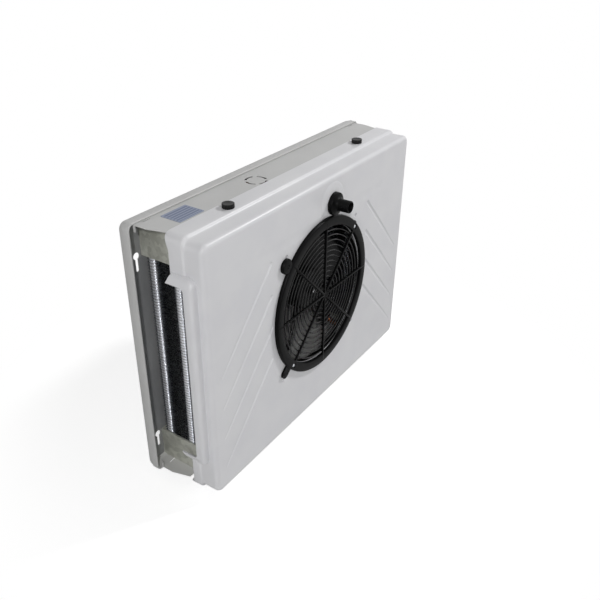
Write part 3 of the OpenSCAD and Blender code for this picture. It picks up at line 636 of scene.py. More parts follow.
def select_faces(obj: bpy.types.Object, test: Callable[[Vector, Vector], bool]) -> int:
    """Enters edit mode and selects the faces that pass a test.

    Args:
        obj: The object.
        test: Takes the face's centre in metres and its normal.

    Returns:
        How many faces are selected.
    """
    only(obj)
    bpy.ops.object.mode_set(mode="EDIT")
    bpy.ops.mesh.select_mode(type="FACE")
    bpy.ops.mesh.select_all(action="DESELECT")
    mesh = bmesh.from_edit_mesh(obj.data)
    count = 0
    for face in mesh.faces:
        if test(face.calc_center_median(), face.normal):
            face.select_set(True)
            count += 1
    bmesh.update_edit_mesh(obj.data)
    return count


def bevel_edges(
    obj: bpy.types.Object, test: Callable[[Vector, Vector], bool], radius_mm: float, segments: int = 4
) -> bpy.types.Object:
    """Rounds the edges that pass a test.

    Args:
        obj: The object.
        test: Takes both ends of an edge in metres.
        radius_mm: The radius.
        segments: How many steps the round has.

    Returns:
        The same object.
    """
    if select_edges(obj, test):
        bpy.ops.mesh.bevel(
            offset=radius_mm * MM, segments=segments, profile=0.5, affect="EDGES", clamp_overlap=True
        )
    bpy.ops.object.mode_set(mode="OBJECT")
    return obj


def along_depth(a: Vector, b: Vector) -> bool:
    """Whether an edge runs from front to back."""
    return abs(a.y - b.y) > LONG


def at_depth(y: float) -> Callable[[Vector, Vector], bool]:
    """Makes the test for edges that lie at the depth y, in metres."""
    return lambda a, b: abs(a.y - y) < NEAR and abs(b.y - y) < NEAR


def sideways_at(y: float) -> Callable[[Vector, Vector], bool]:
    """Makes the test for edges that run sideways at the depth y, in metres."""
    flat = at_depth(y)
    return lambda a, b: abs(a.x - b.x) > LONG and flat(a, b)


def looks_back_at(y: float) -> Callable[[Vector, Vector], bool]:
    """Makes the test for faces that look back and lie at the depth y, in metres."""
    return lambda centre, normal: normal.y > 0.9 and abs(centre.y - y) < NEAR


def soften(
    obj: bpy.types.Object, radius_mm: float, segments: int = 2, angle: float = 35.0
) -> bpy.types.Object:
    """Rounds every sharp edge of obj a little with a bevel modifier.

    Args:
        obj: The object.
        radius_mm: The radius.
        segments: How many steps the round has.
        angle: Edges that turn by more than this many degrees are rounded.

    Returns:
        The same object.
    """
    return with_modifier(
        obj,
        "BEVEL",
        width=radius_mm * MM,
        segments=segments,
        limit_method="ANGLE",
        angle_limit=math.radians(angle),
        harden_normals=False,
    )


def keep_below(obj: bpy.types.Object, place: Vector, normal: Vector) -> bpy.types.Object:
    """Cuts obj along a plane, closes the cut and keeps what lies behind the plane.

    Args:
        obj: The solid.
        place: A point of the plane.
        normal: The plane's normal, which points at what goes.

    Returns:
        The same solid.
    """
    only(obj)
    bpy.ops.object.mode_set(mode="EDIT")
    bpy.ops.mesh.select_all(action="SELECT")
    bpy.ops.mesh.bisect(plane_co=place, plane_no=normal, use_fill=True, clear_outer=True)
    bpy.ops.object.mode_set(mode="OBJECT")
    return obj


def split(obj: bpy.types.Object, cuts: Sequence[tuple[Vector, Sequence[float]]]) -> bpy.types.Object:
    """Scores obj's faces along planes, without parting it.

    Args:
        obj: The object.
        cuts: A point in metres and the normal of each plane.

    Returns:
        The same object.
    """
    only(obj)
    bpy.ops.object.mode_set(mode="EDIT")
    for place, normal in cuts:
        bpy.ops.mesh.select_all(action="SELECT")
        bpy.ops.mesh.bisect(plane_co=place, plane_no=normal)
    bpy.ops.object.mode_set(mode="OBJECT")
    return obj


def revolve(
    name: str,
    profile: Sequence[tuple[float, float]],
    centre: Vector,
    steps: int = 96,
    closed: bool = False,
) -> bpy.types.Object:
    """Turns a profile once round an axis that points at the viewer of the cover.

    Args:
        name: The object's name.
        profile: Radius and height in front of the centre, in millimetres.
        centre: A point on the axis in metres.
        steps: How many steps the turn has.
        closed: Whether the profile's last point joins its first.

    Returns:
        The turned piece, with its doubles merged and its faces outwards.
    """
    deselect()
    mesh = bpy.data.meshes.new(name)
    work = bmesh.new()
    points = [work.verts.new(centre + Vector((r, -h, 0)) * MM) for r, h in profile]
    pairs = list(zip(points, points[1:])) + ([(points[-1], points[0])] if closed else [])
    for a, b in pairs:
        work.edges.new((a, b))
    work.to_mesh(mesh)
    work.free()
    obj = bpy.data.objects.new(name, mesh)
    bpy.context.collection.objects.link(obj)
    only(obj)
    bpy.ops.object.mode_set(mode="EDIT")
    bpy.ops.mesh.select_all(action="SELECT")
    bpy.ops.mesh.spin(steps=steps, angle=math.tau, center=centre, axis=(0, 1, 0))
    bpy.ops.mesh.select_all(action="SELECT")
    bpy.ops.mesh.remove_doubles(threshold=0.00001)
    bpy.ops.mesh.normals_make_consistent(inside=False)
    bpy.ops.object.mode_set(mode="OBJECT")
    return obj


def copies(obj: bpy.types.Object, moves: Sequence[Matrix], name: str) -> bpy.types.Object:
    """Copies one modelled piece to several places and joins the copies.

    Args:
        obj: The piece, which isn't kept.
        moves: The move of each copy.
        name: The joined object's name.

    Returns:
        The joined copies.
    """
    made = []
    for move in moves:
        twin = obj.copy()
        twin.data = obj.data.copy()
        bpy.context.collection.objects.link(twin)
        twin.data.transform(move)
        made.append(twin)
    bpy.data.objects.remove(obj, do_unlink=True)
    return joined(name, made)


def finish_piece(
    obj: bpy.types.Object,
    body: str,
    finish: Finish,
    stands_for: Sequence[str] = (),
    smooth: float = 35.0,
) -> bpy.types.Object:
    """Dresses a new piece and fixes it to its body.

    Args:
        obj: The piece.
        body: The frame's body that it moves with.
        finish: Its material.
        stands_for: The frame's nodes that it replaces.
        smooth: Edges flatter than this many degrees are shaded smooth.

    Returns:
        The same object.
    """
    only(obj)
    bpy.ops.object.shade_smooth_by_angle(angle=math.radians(smooth))
    obj.data.materials.clear()
    obj.data.materials.append(finish.build())
    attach(obj, body)
    if stands_for:
        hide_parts(*stands_for)
    LOG.info("%s: %d faces on %s", obj.name, len(obj.data.polygons), body)
    return obj


def also_in(
    obj: bpy.types.Object, finish: Finish, test: Callable[[Vector, Vector], bool]
) -> bpy.types.Object:
    """Gives the faces that pass a test a second finish.

    Args:
        obj: The piece, in its first finish.
        finish: The second finish.
        test: Takes the face's centre in metres and its normal.

    Returns:
        The same object.
    """
    obj.data.materials.append(finish.build())
    last = len(obj.data.materials) - 1
    for face in obj.data.polygons:
        if test(face.center, face.normal):
            face.material_index = last
    return obj


def dress_node(frame: dict[str, Any], node: str, finish: Finish) -> None:
    """Gives a frame node that stays its material.

    Args:
        node: The node's name.
        finish: Its material.
    """
    obj = frame["nodes"][node]
    material = finish.build()
    if not obj.data.materials:
        obj.data.materials.append(material)
    for slot in obj.material_slots:
        slot.material = material
    LOG.info("%s keeps its solid, in %s", node, finish.name)


# The drip tray


@dataclass
class DripTray:
    """The moulded cover: rounded front band, wider lap, outlets with collars, channels and dome."""

    half_band: tuple[float, float] = (305.0, 224.9)
    half_lap: tuple[float, float] = (307.0, 229.9)
    wall: float = 2.7
    crease_d: float = 34.0
    lap_d: float = 67.0
    end_rear: tuple[tuple[float, float], ...] = (
        (-232.0, 67.0),
        (-221.0, 50.0),
        (-168.0, 50.0),
        (-160.0, 60.0),
        (206.0, 60.0),
        (229.0, 68.0),
    )
    corner_r: float = 14.0
    front_r: float = 8.0
    opening_r: float = 128.0
    outlet: tuple[float, float, float] = (29.0, -150.0, 159.0)
    outlet_x: tuple[float, float] = (285.0, 330.0)
    outlet_r: float = 6.0
    cut_rear_d: float = 80.0
    end_x: tuple[float, float] = (287.0, 330.0)
    collar_out: float = 11.0
    collar_root: float = 8.0
    collar_flare: float = 5.0
    collar_front_d: float = 14.0
    collar_rear_d: float = 62.0
    collar_top: float = 173.0
    collar_low: float = -166.0
    collar_corner_r: float = 12.0
    collar_edge_r: float = 6.5
    collar_tip_d: float = 55.0
    collar_tip_cut: float = 6.0
    channels: int = 4
    channel_pitch: float = 59.0
    channel_inner: tuple[float, float] = (153.0, 136.0)
    channel_outer: tuple[float, float] = (281.0, -4.0)
    channel_bar: tuple[float, float, float] = (7.0, 2.0, 0.5)
    channel_wall: float = 1.5
    fold_z: float = 155.0
    fold_far: float = 205.0
    fold_near: tuple[float, float] = (8.0, 45.0)
    fold_half: float = 9.0
    fold_deep: float = 1.4
    drain: tuple[float, float] = (26.0, 177.0)
    drain_r: float = 10.75
    pit_places: tuple[tuple[float, float], ...] = (
        (108.0, 126.0),
        (-110.0, 130.0),
        (-120.0, -103.0),
        (111.0, -100.0),
    )
    pit: tuple[float, float] = (4.4, 2.3)
    notch_half: float = 3.5
    notch_z: tuple[float, float] = (222.0, 236.0)
    screw_hole: tuple[float, float] = (137.0, 2.25)
    end_step: float = 0.4
    lap_out: float = 5.0
    crease_soft: float = 3.0
    lap_profile: tuple[tuple[float, float], ...] = (
        (0.5, 1.6),
        (1.8, 3.0),
        (3.4, 3.8),
        (4.6, 5.2),
        (5.0, 7.6),
    )

    def block(self, inset: float, rear_d: float) -> bpy.types.Object:
        """The tray's outer form as a solid, or its inner form.

        Args:
            inset: How far every face lies inside the outer form.
            rear_d: Where the solid ends behind.

        Returns:
            The solid.
        """
        half_x, half_z = (h - inset for h in self.half_band)
        start_d = self.crease_d - self.crease_soft + inset
        obj = box("tray_block", PLAN.at(-half_x, inset, -half_z), PLAN.at(half_x, start_d, half_z))
        bevel_edges(obj, along_depth, self.corner_r - inset, 8)
        bevel_edges(obj, at_depth(PLAN.at(0, inset, 0).y), self.front_r - inset, 7)
        self.grow_lap(obj, start_d, rear_d, inset)
        return obj

    def grow_lap(self, obj: bpy.types.Object, start_d: float, rear_d: float, inset: float) -> None:
        """Extrudes the rear face outwards and back, so that it forms the soft step and the lap.

        Args:
            obj: The solid, which ends at start_d.
            start_d: Its rear depth.
            rear_d: Where the lap ends behind.
            inset: How far the faces lie inside the outer form.
        """
        select_faces(obj, looks_back_at(PLAN.at(0, start_d, 0).y))
        out_before, d_before = 0.0, start_d
        half_x, half_z = (h - inset for h in self.half_band)
        stations = [(o, start_d + d) for o, d in self.lap_profile] + [(self.lap_out, rear_d)]
        for out, d in stations:
            back = (0, (d - d_before) * MM, 0)
            bpy.ops.mesh.extrude_region_move(TRANSFORM_OT_translate={"value": back})
            wider = (half_x + out * self.end_step) / (half_x + out_before * self.end_step)
            higher = (half_z + out) / (half_z + out_before)
            bpy.ops.transform.resize(value=(wider, 1, higher), center_override=PLAN.at(0, d, 0))
            out_before, d_before = out, d
        bpy.ops.object.mode_set(mode="OBJECT")

    def collar(self, side: Side, inset: float) -> bpy.types.Object:
        """The raised frame round an outlet as a solid, or the hollow inside it.

        Args:
            side: Which end of the unit.
            inset: How far every face lies inside the outer form.

        Returns:
            The solid.
        """
        s = side.value
        out_x = self.half_lap[0] + self.collar_out - inset
        in_x = self.half_band[0] - self.collar_root - inset
        rear_d = self.collar_rear_d + (8.0 if inset else 0.0)
        xs = sorted((s * in_x, s * out_x))
        obj = box(
            "collar_block",
            PLAN.at(xs[0], self.collar_front_d + inset, self.collar_low + inset),
            PLAN.at(xs[1], rear_d, self.collar_top - inset),
        )
        front_y = PLAN.at(0, self.collar_front_d + inset, 0).y
        bevel_edges(obj, sideways_at(front_y), self.collar_corner_r - inset, 6)
        far_x = s * out_x * MM
        rear_y = PLAN.at(0, rear_d - 0.1, 0).y
        bevel_edges(
            obj,
            lambda a, b: abs(a.x - far_x) < NEAR
            and abs(b.x - far_x) < NEAR
            and not (a.y > rear_y and b.y > rear_y),
            self.collar_edge_r - inset * 0.6,
            5,
        )
        self.lean_in(obj, side, bool(inset))
        return obj

    def lean_in(self, obj: bpy.types.Object, side: Side, hollow: bool) -> None:
        """Leans a collar inwards past the ends of its outlet, and cuts its lips back there.

        Args:
            obj: The collar, or the hollow inside it.
            side: Which end of the unit.
            hollow: Whether it is the hollow, whose rear stays.
        """
        _, low, high = self.outlet
        split(obj, [(PLAN.at(0, 0, z), (0, 0, 1)) for z in (low, high - 1.0)])
        for vertex in obj.data.vertices:
            z = vertex.co.z / MM - PLAN.mid_z
            over = max(0.0, z - high + 1.0, low - z) / (self.collar_top - high)
            if over > 0 and abs(vertex.co.x) > self.half_band[0] * MM:
                vertex.co.x -= side.value * self.collar_flare * min(1.0, over) * MM
                if vertex.co.y > PLAN.at(0, self.collar_tip_d, 0).y and not hollow:
                    vertex.co.y -= self.collar_tip_cut * min(1.0, over) * MM

    def outlet_cut(self, side: Side) -> bpy.types.Object:
        """The outlet's opening through the end wall and the collar.

        Args:
            side: Which end of the unit.

        Returns:
            The cutter.
        """
        d, low, high = self.outlet
        xs = sorted(side.value * x for x in self.outlet_x)
        obj = box("outlet_cut", PLAN.at(xs[0], d, low), PLAN.at(xs[1], self.cut_rear_d, high))
        return bevel_edges(obj, sideways_at(PLAN.at(0, d, 0).y), self.outlet_r, 4)

    def channel_cut(self, side: Side, z_shift: float) -> bpy.types.Object:
        """A bar that presses one diagonal channel: steep above, gentle below, deepest inside.

        Args:
            side: Which half of the face.
            z_shift: How far the channel lies below the upper one.

        Returns:
            The cutter.
        """
        s = side.value
        radius, deep, shallow = self.channel_bar
        inner = PLAN.at(s * self.channel_inner[0], deep - radius, self.channel_inner[1] - z_shift)
        outer = PLAN.at(s * self.channel_outer[0], shallow - radius, self.channel_outer[1] - z_shift)
        along = outer - inner
        middle = (inner + outer) / 2
        bar = drum("channel_bar", middle, radius * MM, along.length, along.normalized(), 36)
        deselect()
        bpy.ops.mesh.primitive_uv_sphere_add(
            segments=32, ring_count=20, radius=radius * MM, location=inner
        )
        end = settle(bpy.context.object)
        bar = combine(bar, [end], "UNION")
        up = Vector((-s * along.z, 0, s * along.x)).normalized()
        steep = (up + Vector((0, self.channel_wall, 0))).normalized()
        floor = PLAN.at(s * self.channel_inner[0], deep, self.channel_inner[1] - z_shift)
        sheer = floor + up * (self.channel_wall * 0.5 * MM)
        return keep_below(bar, sheer, steep)

    @staticmethod
    def turn_out(obj: bpy.types.Object) -> None:
        """Makes every face of an object point outwards.

        Args:
            obj: The object.
        """
        only(obj)
        bpy.ops.object.mode_set(mode="EDIT")
        bpy.ops.mesh.select_all(action="SELECT")
        bpy.ops.mesh.normals_make_consistent(inside=False)
        bpy.ops.object.mode_set(mode="OBJECT")

    def valley(self, side: Side) -> bpy.types.Object:
        """The fold's cutter with a ridge down its middle, so that it presses a V.

        Args:
            side: Which half of the face.

        Returns:
            The cutter.
        """
        s = side.value
        near = self.fold_near[0] if side is Side.LEFT else self.fold_near[1]
        half = self.fold_half
        obj = box("valley_cut", Vector((near, -3, -half)) * MM, Vector((self.fold_far, 0, half)) * MM)
        split(obj, [(Vector((0, 0, 0)), (0, 0, 1))])
        for vertex in obj.data.vertices:
            u, v, w = vertex.co / MM
            share = (u - near) / (self.fold_far - near)
            if v > -1:
                v = (self.fold_deep * (1 - share) + 0.02) if abs(w) < 1 else 0.0
            vertex.co = PLAN.at(s * u, v, self.fold_z + w)
        self.turn_out(obj)
        return obj

    def end_cut(self, side: Side) -> bpy.types.Object:
        """What an end wall lacks behind: most below the outlet, sloped into the lap above.

        Args:
            side: Which end of the unit.

        Returns:
            The cutter.
        """
        xs = sorted(side.value * x for x in self.end_x)
        low, high = self.end_rear[0][0], self.end_rear[-1][0]
        obj = box("end_cut", PLAN.at(xs[0], 60, low), PLAN.at(xs[1], self.cut_rear_d, high))
        split(obj, [(PLAN.at(0, 0, z), (0, 0, 1)) for z, _ in self.end_rear[1:-1]])
        middle_y = PLAN.at(0, self.cut_rear_d - 5, 0).y
        for vertex in obj.data.vertices:
            if vertex.co.y < middle_y:
                z = vertex.co.z / MM - PLAN.mid_z
                rear_d = min(self.end_rear, key=lambda station: abs(station[0] - z))[1]
                vertex.co.y = PLAN.at(0, rear_d, 0).y
        return obj

    def dome(self) -> bpy.types.Object:
        """The low round dome that carries the drain fitting.

        Returns:
            The dome, cut clear of the guard.
        """
        x, z = self.drain
        profile = [
            (0, -2.0),
            (40, -2.0),
            (37, 0.02),
            (33, 0.35),
            (29, 1.1),
            (25.5, 1.75),
            (22.5, 2.0),
            (0, 2.0),
        ]
        dome = revolve("drain_dome", profile, PLAN.at(x, 0, z), 64)
        clear = drum("guard_room", PLAN.at(0, -6, PLAN.fan_rise), 146 * MM, 12 * MM, corners=128)
        return combine(dome, [clear])

    def notch(self, x: float, up: int) -> bpy.types.Object:
        """The open notch in the lap that slides over a thumb screw's shank.

        Args:
            x: Sideways place in millimetres.
            up: 1 for the upper lap and -1 for the lower one.

        Returns:
            The cutter.
        """
        half, d = self.notch_half, PLAN.knob_d
        zs = sorted(up * z for z in self.notch_z)
        slot = box(
            "notch_cut", PLAN.at(x - half, d, zs[0]), PLAN.at(x + half, self.cut_rear_d, zs[1])
        )
        middle = PLAN.at(x, d, sum(zs) / 2)
        end = drum("notch_end", middle, half * MM, (zs[1] - zs[0]) * MM, (0, 0, 1), 24)
        return combine(slot, [end], "UNION")

    def build(self) -> bpy.types.Object:
        """Models the cover and fixes it to the tray's body.

        Returns:
            The cover.
        """
        tray = self.block(0.0, self.lap_d)
        combine(tray, [self.collar(side, 0.0) for side in Side], "UNION")
        combine(tray, [self.dome()], "UNION")
        combine(tray, [self.block(self.wall, self.lap_d + 9.0)])
        combine(tray, [self.collar(side, self.wall) for side in Side])
        combine(tray, [self.outlet_cut(side) for side in Side])
        for side in Side:
            s = side.value
            combine(tray, [self.end_cut(side)])
            shifts = [i * self.channel_pitch for i in range(self.channels)]
            combine(tray, [self.channel_cut(side, shift) for shift in shifts])
            combine(tray, [self.valley(side)])
            combine(tray, [self.notch(s * PLAN.knob_x, up) for up in (-1, 1)])
        centre = PLAN.at(0, 5, PLAN.fan_rise)
        combine(tray, [drum("fan_opening", centre, self.opening_r * MM, 30 * MM, corners=128)])
        x, z = self.drain
        combine(tray, [drum("drain_hole", PLAN.at(x, 5, z), self.drain_r * MM, 30 * MM, corners=48)])
        radius, deep = self.pit
        for dx, dz in self.pit_places:
            pit = drum("lug_dimple", PLAN.at(dx, 0, dz), radius * MM, 2 * deep * MM, corners=28)
            combine(tray, [pit])
        circle, radius = self.screw_hole
        for angle in FanGuard.screw_angles:
            t = math.radians(angle)
            spot = PLAN.at(circle * math.cos(t), 2, PLAN.fan_rise + circle * math.sin(t))
            combine(tray, [drum("screw_hole", spot, radius * MM, 12 * MM, corners=20)])
        tray.name = "drip_tray_cover"
        finish_piece(tray, "cover_tray", TRAY_PLASTIC, ["cover"], 40)
        for face in tray.data.polygons:
            if face.normal.y < -0.9999:
                face.use_smooth = False
        return tray


# The fan guard


@dataclass
class FanGuard:
    """The black inlet guard: a flat rim, round rings, eight spokes, lugs and two bright screws."""

    outer_r: float = 144.9
    inner_r: float = 127.9
    top: float = 6.8
    wall: float = 2.4
    rings: int = 13
    first_r: float = 6.0
    pitch: float = 9.49
    ring_height: float = 3.1
    ring_half: float = 1.25
    spokes: int = 8
    spoke_w: float = 3.2
    screw_r: float = 136.9
    screw_angles: tuple[float, float] = (45.0, 225.0)
    boss_r: float = 6.4
    seat_r: float = 5.0
    way_r: float = 2.25
    lug_r: float = 142.5
    tongue: tuple[float, float] = (157.4, 8.5)
    tongue_angle: float = 221.0
    ear_r: float = 155.6
    ear_angle: float = 137.5
    nib_angles: tuple[float, ...] = (0.0, 45.0, 270.0, 315.0)

    def centre(self) -> Vector:
        """The fan's axis at the cover's face, in millimetres."""
        return PLAN.at(0, 0, PLAN.fan_rise) / MM

    def turned(self, angle: float) -> Matrix:
        """A turn about the fan's axis, counted from the right towards the top.

        Args:
            angle: The turn in degrees.

        Returns:
            The turn as a matrix.
        """
        centre = self.centre() * MM
        turn = Matrix.Rotation(math.radians(-angle), 4, "Y")
        return Matrix.Translation(centre) @ turn @ Matrix.Translation(-centre)

    def rim(self) -> bpy.types.Object:
        """The hollow rim with its soft edges, screw seats and bosses.

        Returns:
            The rim.
        """
        i, o, t = self.inner_r, self.outer_r, self.wall
        profile = [
            (i, 0.3),
            (i, 5.6),
            (i + 0.5, 6.5),
            (i + 1.6, self.top),
            (o - 3.0, self.top),
            (o - 1.2, 6.4),
            (o - 0.2, 5.3),
            (o, 4.0),
            (o, 0.3),
            (o - t, 0.3),
            (o - t, 4.3),
            (i + t, 4.3),
            (i + t, 0.3),
        ]
        rim = revolve("guard_rim", profile, PLAN.at(0, 0, PLAN.fan_rise), 128, closed=True)
        for angle in self.screw_angles:
            x = self.screw_r * math.cos(math.radians(angle))
            z = PLAN.fan_rise + self.screw_r * math.sin(math.radians(angle))
            boss = drum("screw_boss", PLAN.at(x, -2.6, z), self.boss_r * MM, 4.6 * MM, corners=24)
            seat = drum("screw_seat", PLAN.at(x, -6.4, z), self.seat_r * MM, 6.2 * MM, corners=24)
            way = drum("screw_way", PLAN.at(x, -2.6, z), self.way_r * MM, 8 * MM, corners=20)
            combine(rim, [boss], "UNION")
            combine(rim, [seat])
            combine(rim, [way])
        return rim

    def ring(self, radius: float) -> bpy.types.Object:
        """One ring, round in section, so that it glints along the rays that face a light.

        Args:
            radius: The middle radius of the ring in millimetres.

        Returns:
            The ring.
        """
        a = self.ring_half
        turns = [math.tau * k / 8 + 0.39 for k in range(8)]
        profile = [(radius + a * math.cos(k), self.ring_height + a * math.sin(k)) for k in turns]
        return revolve("guard_ring", profile, PLAN.at(0, 0, PLAN.fan_rise), 96, closed=True)

    def spoke(self, reach: float) -> bpy.types.Object:
        """One spoke from the middle out to a radius in millimetres, with rounded edges.

        Args:
            reach: The radius where the spoke ends.

        Returns:
            The spoke, which points to the right.
        """
        half = self.spoke_w / 2
        low = PLAN.at(0, -6.9, PLAN.fan_rise - half)
        bar = box("guard_spoke", low, PLAN.at(reach, -3.1, PLAN.fan_rise + half))
        return soften(bar, 0.7, 3)

    def lugs(self) -> list[bpy.types.Object]:
        """The lugs that stand past the rim: one tongue, one round ear and four small nibs.

        Returns:
            The tongue, the ear and the nibs.
        """
        parts = []
        rise = PLAN.fan_rise
        reach, half = self.tongue
        low = PLAN.at(self.lug_r, -4.0, rise - half)
        tongue = box("guard_tongue", low, PLAN.at(reach, -0.3, rise + half))
        end = drum("guard_tongue_end", PLAN.at(reach, -2.15, rise), half * MM, 3.7 * MM, corners=40)
        tongue = soften(combine(tongue, [end], "UNION"), 1.2, 3)
        parts.append(copies(tongue, [self.turned(self.tongue_angle)], "guard_tongue"))
        profile = [
            (0, 0.3),
            (13, 0.3),
            (13, 4.4),
            (12.2, 5.6),
            (10.8, 6.0),
            (4.6, 6.0),
            (4.0, 5.0),
            (0, 5.0),
        ]
        ear = revolve("guard_ear", profile, PLAN.at(self.ear_r, 0, rise), 48)
        parts.append(copies(ear, [self.turned(self.ear_angle)], "guard_ear"))
        nib_profile = [(0, 0.3), (5.6, 0.3), (5.6, 2.9), (5.0, 3.7), (4.0, 4.0), (0, 4.0)]
        nib = revolve("guard_nib", nib_profile, PLAN.at(self.lug_r, 0, rise), 32)
        parts.append(copies(nib, [self.turned(a) for a in self.nib_angles], "guard_nibs"))
        return parts

    def screws(self) -> bpy.types.Object:
        """The two pan-head screws with a cross recess.

        Returns:
            Both screws as one object.
        """
        x = self.screw_r
        profile = [
            (0, 6.6),
            (1.6, 6.5),
            (2.8, 6.1),
            (3.6, 5.4),
            (4.0, 4.4),
            (4.0, 3.4),
            (2.0, 3.4),
            (2.0, -7.6),
            (1.2, -8.6),
            (0, -8.6),
        ]
        screw = revolve("guard_screw", profile, PLAN.at(x, 0, PLAN.fan_rise), 32)
        for long_x, long_z in ((2.1, 0.45), (0.45, 2.1)):
            low = PLAN.at(x - long_x, -7.0, PLAN.fan_rise - long_z)
            high = PLAN.at(x + long_x, -5.3, PLAN.fan_rise + long_z)
            combine(screw, [box("recess", low, high)])
        return copies(screw, [self.turned(a) for a in self.screw_angles], "guard_pan_head_screws")

    def is_ring(self, centre: Vector, normal: Vector) -> bool:
        """Whether a face belongs to the rings, which lie lower than the spokes.

        Args:
            centre: The face's centre in metres.
            normal: Its direction, which has no say.

        Returns:
            True for a face of a ring.
        """
        middle = self.centre()
        radius = math.hypot(centre.x / MM - middle.x, centre.z / MM - middle.z)
        height = -centre.y / MM + middle.y
        return radius < self.inner_r - 2.0 and height < self.ring_height + self.ring_half + 0.1

    def build(self) -> list[bpy.types.Object]:
        """Models the guard and its screws and fixes them to the tray's body.

        Returns:
            The guard and the screws.
        """
        parts = [self.rim()] + [self.ring(self.first_r + i * self.pitch) for i in range(self.rings)]
        angles = [i * 360 / self.spokes for i in range(self.spokes)]
        short = [self.turned(a) for a in angles if a in self.screw_angles]
        long = [self.turned(a) for a in angles if a not in self.screw_angles]
        parts.append(copies(self.spoke(self.inner_r + 1.5), short, "short_spokes"))
        parts.append(copies(self.spoke(self.outer_r - 2.0), long, "long_spokes"))
        parts += self.lugs()
        guard = joined("inlet_guard", parts)
        finish_piece(guard, "cover_tray", GUARD_PLASTIC, ["fan_guard"], 40)
        also_in(guard, RING_PLASTIC, self.is_ring)
        screws = self.screws()
        finish_piece(screws, "cover_tray", ZINC_PLATE, ["guard_screws"], 40)
        return [guard, screws]


# The fan


@dataclass
class FanSet:
    """The impeller with its swept blades, and its nut."""

    hub_r: float = 38.0
    hub_front: float = 24.0
    hub_d: float = 30.0
    hub_wall: float = 2.5
    bore_r: float = 4.1
    blade_r: float = 116.9
    blades: int = 5
    start: float = 20.0
    root_pitch: float = 38.0
    tip_pitch: float = 25.0
    root_chord: float = 34.0
    tip_chord: float = 84.0
    tip_from: float = 0.75
    tip_round: float = 0.18
    sweep: float = 9.0
    camber: float = 0.07
    thick: float = 2.0

    def hub(self) -> bpy.types.Object:
        """The moulded hub: a soft-edged cup with the boss of the shaft inside.

        Returns:
            The hub with its ribs.
        """
        r, f, t, b = self.hub_r, -self.hub_front, self.hub_wall, self.bore_r
        rear = f - self.hub_d
        profile = [
            (b, f),
            (r - 7, f),
            (r - 3, f - 1.0),
            (r - 0.8, f - 3.4),
            (r, f - 7),
            (r, rear),
            (r - t, rear),
            (r - t, f - 7),
            (r - 5, f - 3.8),
            (b + 3, f - t),
            (b + 2.5, rear + 1),
            (b + 2, rear),
            (b, rear),
        ]
        hub = revolve("fan_hub", profile, PLAN.at(0, 0, PLAN.fan_rise), 64, closed=True)
        low = PLAN.at(6, self.hub_front + 2, PLAN.fan_rise - 0.8)
        rib = box("hub_rib", low, PLAN.at(r - 2, 50, PLAN.fan_rise + 0.8))
        guard = FanGuard()
        ribs = copies(rib, [guard.turned(i * 45) for i in range(8)], "hub_ribs")
        return joined("fan_hub", [hub, ribs])

    def blade(self) -> bpy.types.Object:
        """One swept and twisted blade on the right of the axis.

        Returns:
            The blade.
        """
        deselect()
        bpy.ops.mesh.primitive_grid_add(x_subdivisions=14, y_subdivisions=10, size=2)
        obj = bpy.context.object
        obj.name = "fan_blade"
        mid_d = self.hub_front + self.hub_d / 2
        root = self.hub_r - 1.5
        for vertex in obj.data.vertices:
            share = (vertex.co.x + 1) / 2
            across = vertex.co.y
            radius = root + (self.blade_r - root) * share
            chord = self.root_chord + (self.tip_chord - self.root_chord) * share**0.8
            if share > self.tip_from:
                chord *= 1 - self.tip_round * ((share - self.tip_from) / (1 - self.tip_from)) ** 2
            pitch = math.radians(self.root_pitch + (self.tip_pitch - self.root_pitch) * share)
            along = across * chord / 2 * math.cos(pitch) + self.sweep * (share * 2 - 0.6)
            deep = across * chord / 2 * math.sin(pitch) - self.camber * chord * (1 - across**2)
            turn = along / radius
            x, z = radius * math.cos(turn), radius * math.sin(turn)
            vertex.co = PLAN.at(x, mid_d + deep, PLAN.fan_rise + z)
        DripTray.turn_out(obj)
        with_modifier(obj, "SOLIDIFY", thickness=self.thick * MM, offset=0.0)
        return soften(obj, 0.7, 2, 50)

    def nut(self) -> bpy.types.Object:
        """The flanged nut on the shaft's end.

        Returns:
            The nut.
        """
        d = self.hub_front - 0.1
        hexagon = drum("hub_nut", PLAN.at(0, d - 4, PLAN.fan_rise), 7.2 * MM, 8 * MM, corners=6)
        profile = [(0, -d), (9, -d), (9, -d + 1.4), (8.2, -d + 2.4), (0, -d + 2.6)]
        flange = revolve("nut_flange", profile, PLAN.at(0, 0, PLAN.fan_rise), 40)
        middle = PLAN.at(0, d - 7, PLAN.fan_rise)
        crown = drum("nut_crown", middle, 8.6 * MM, 2.4 * MM, corners=40, top_radius=6.0 * MM)
        rest = drum("nut_rest", PLAN.at(0, d - 2, PLAN.fan_rise), 12 * MM, 8 * MM, corners=40)
        top = combine(crown, [rest], "UNION")
        combine(hexagon, [top], "INTERSECT")
        nut = combine(hexagon, [flange], "UNION")
        bore = drum("nut_bore", PLAN.at(0, d - 4, PLAN.fan_rise), self.bore_r * MM, 12 * MM, corners=32)
        combine(nut, [bore])
        return soften(nut, 0.3, 2)

    def build(self) -> list[bpy.types.Object]:
        """Models the impeller and its nut and fixes them to the rotor.

        Returns:
            The impeller and the nut.
        """
        guard = FanGuard()
        turns = [guard.turned(self.start + i * 360 / self.blades) for i in range(self.blades)]
        impeller = joined("axial_impeller", [self.hub(), copies(self.blade(), turns, "fan_blades")])
        finish_piece(impeller, "fan_rotor", FAN_PLASTIC, ["fan_impeller"], 40)
        nut = self.nut()
        finish_piece(nut, "fan_rotor", FAN_PLASTIC, ["impeller_nut"], 30)
        return [impeller, nut]


# The drain


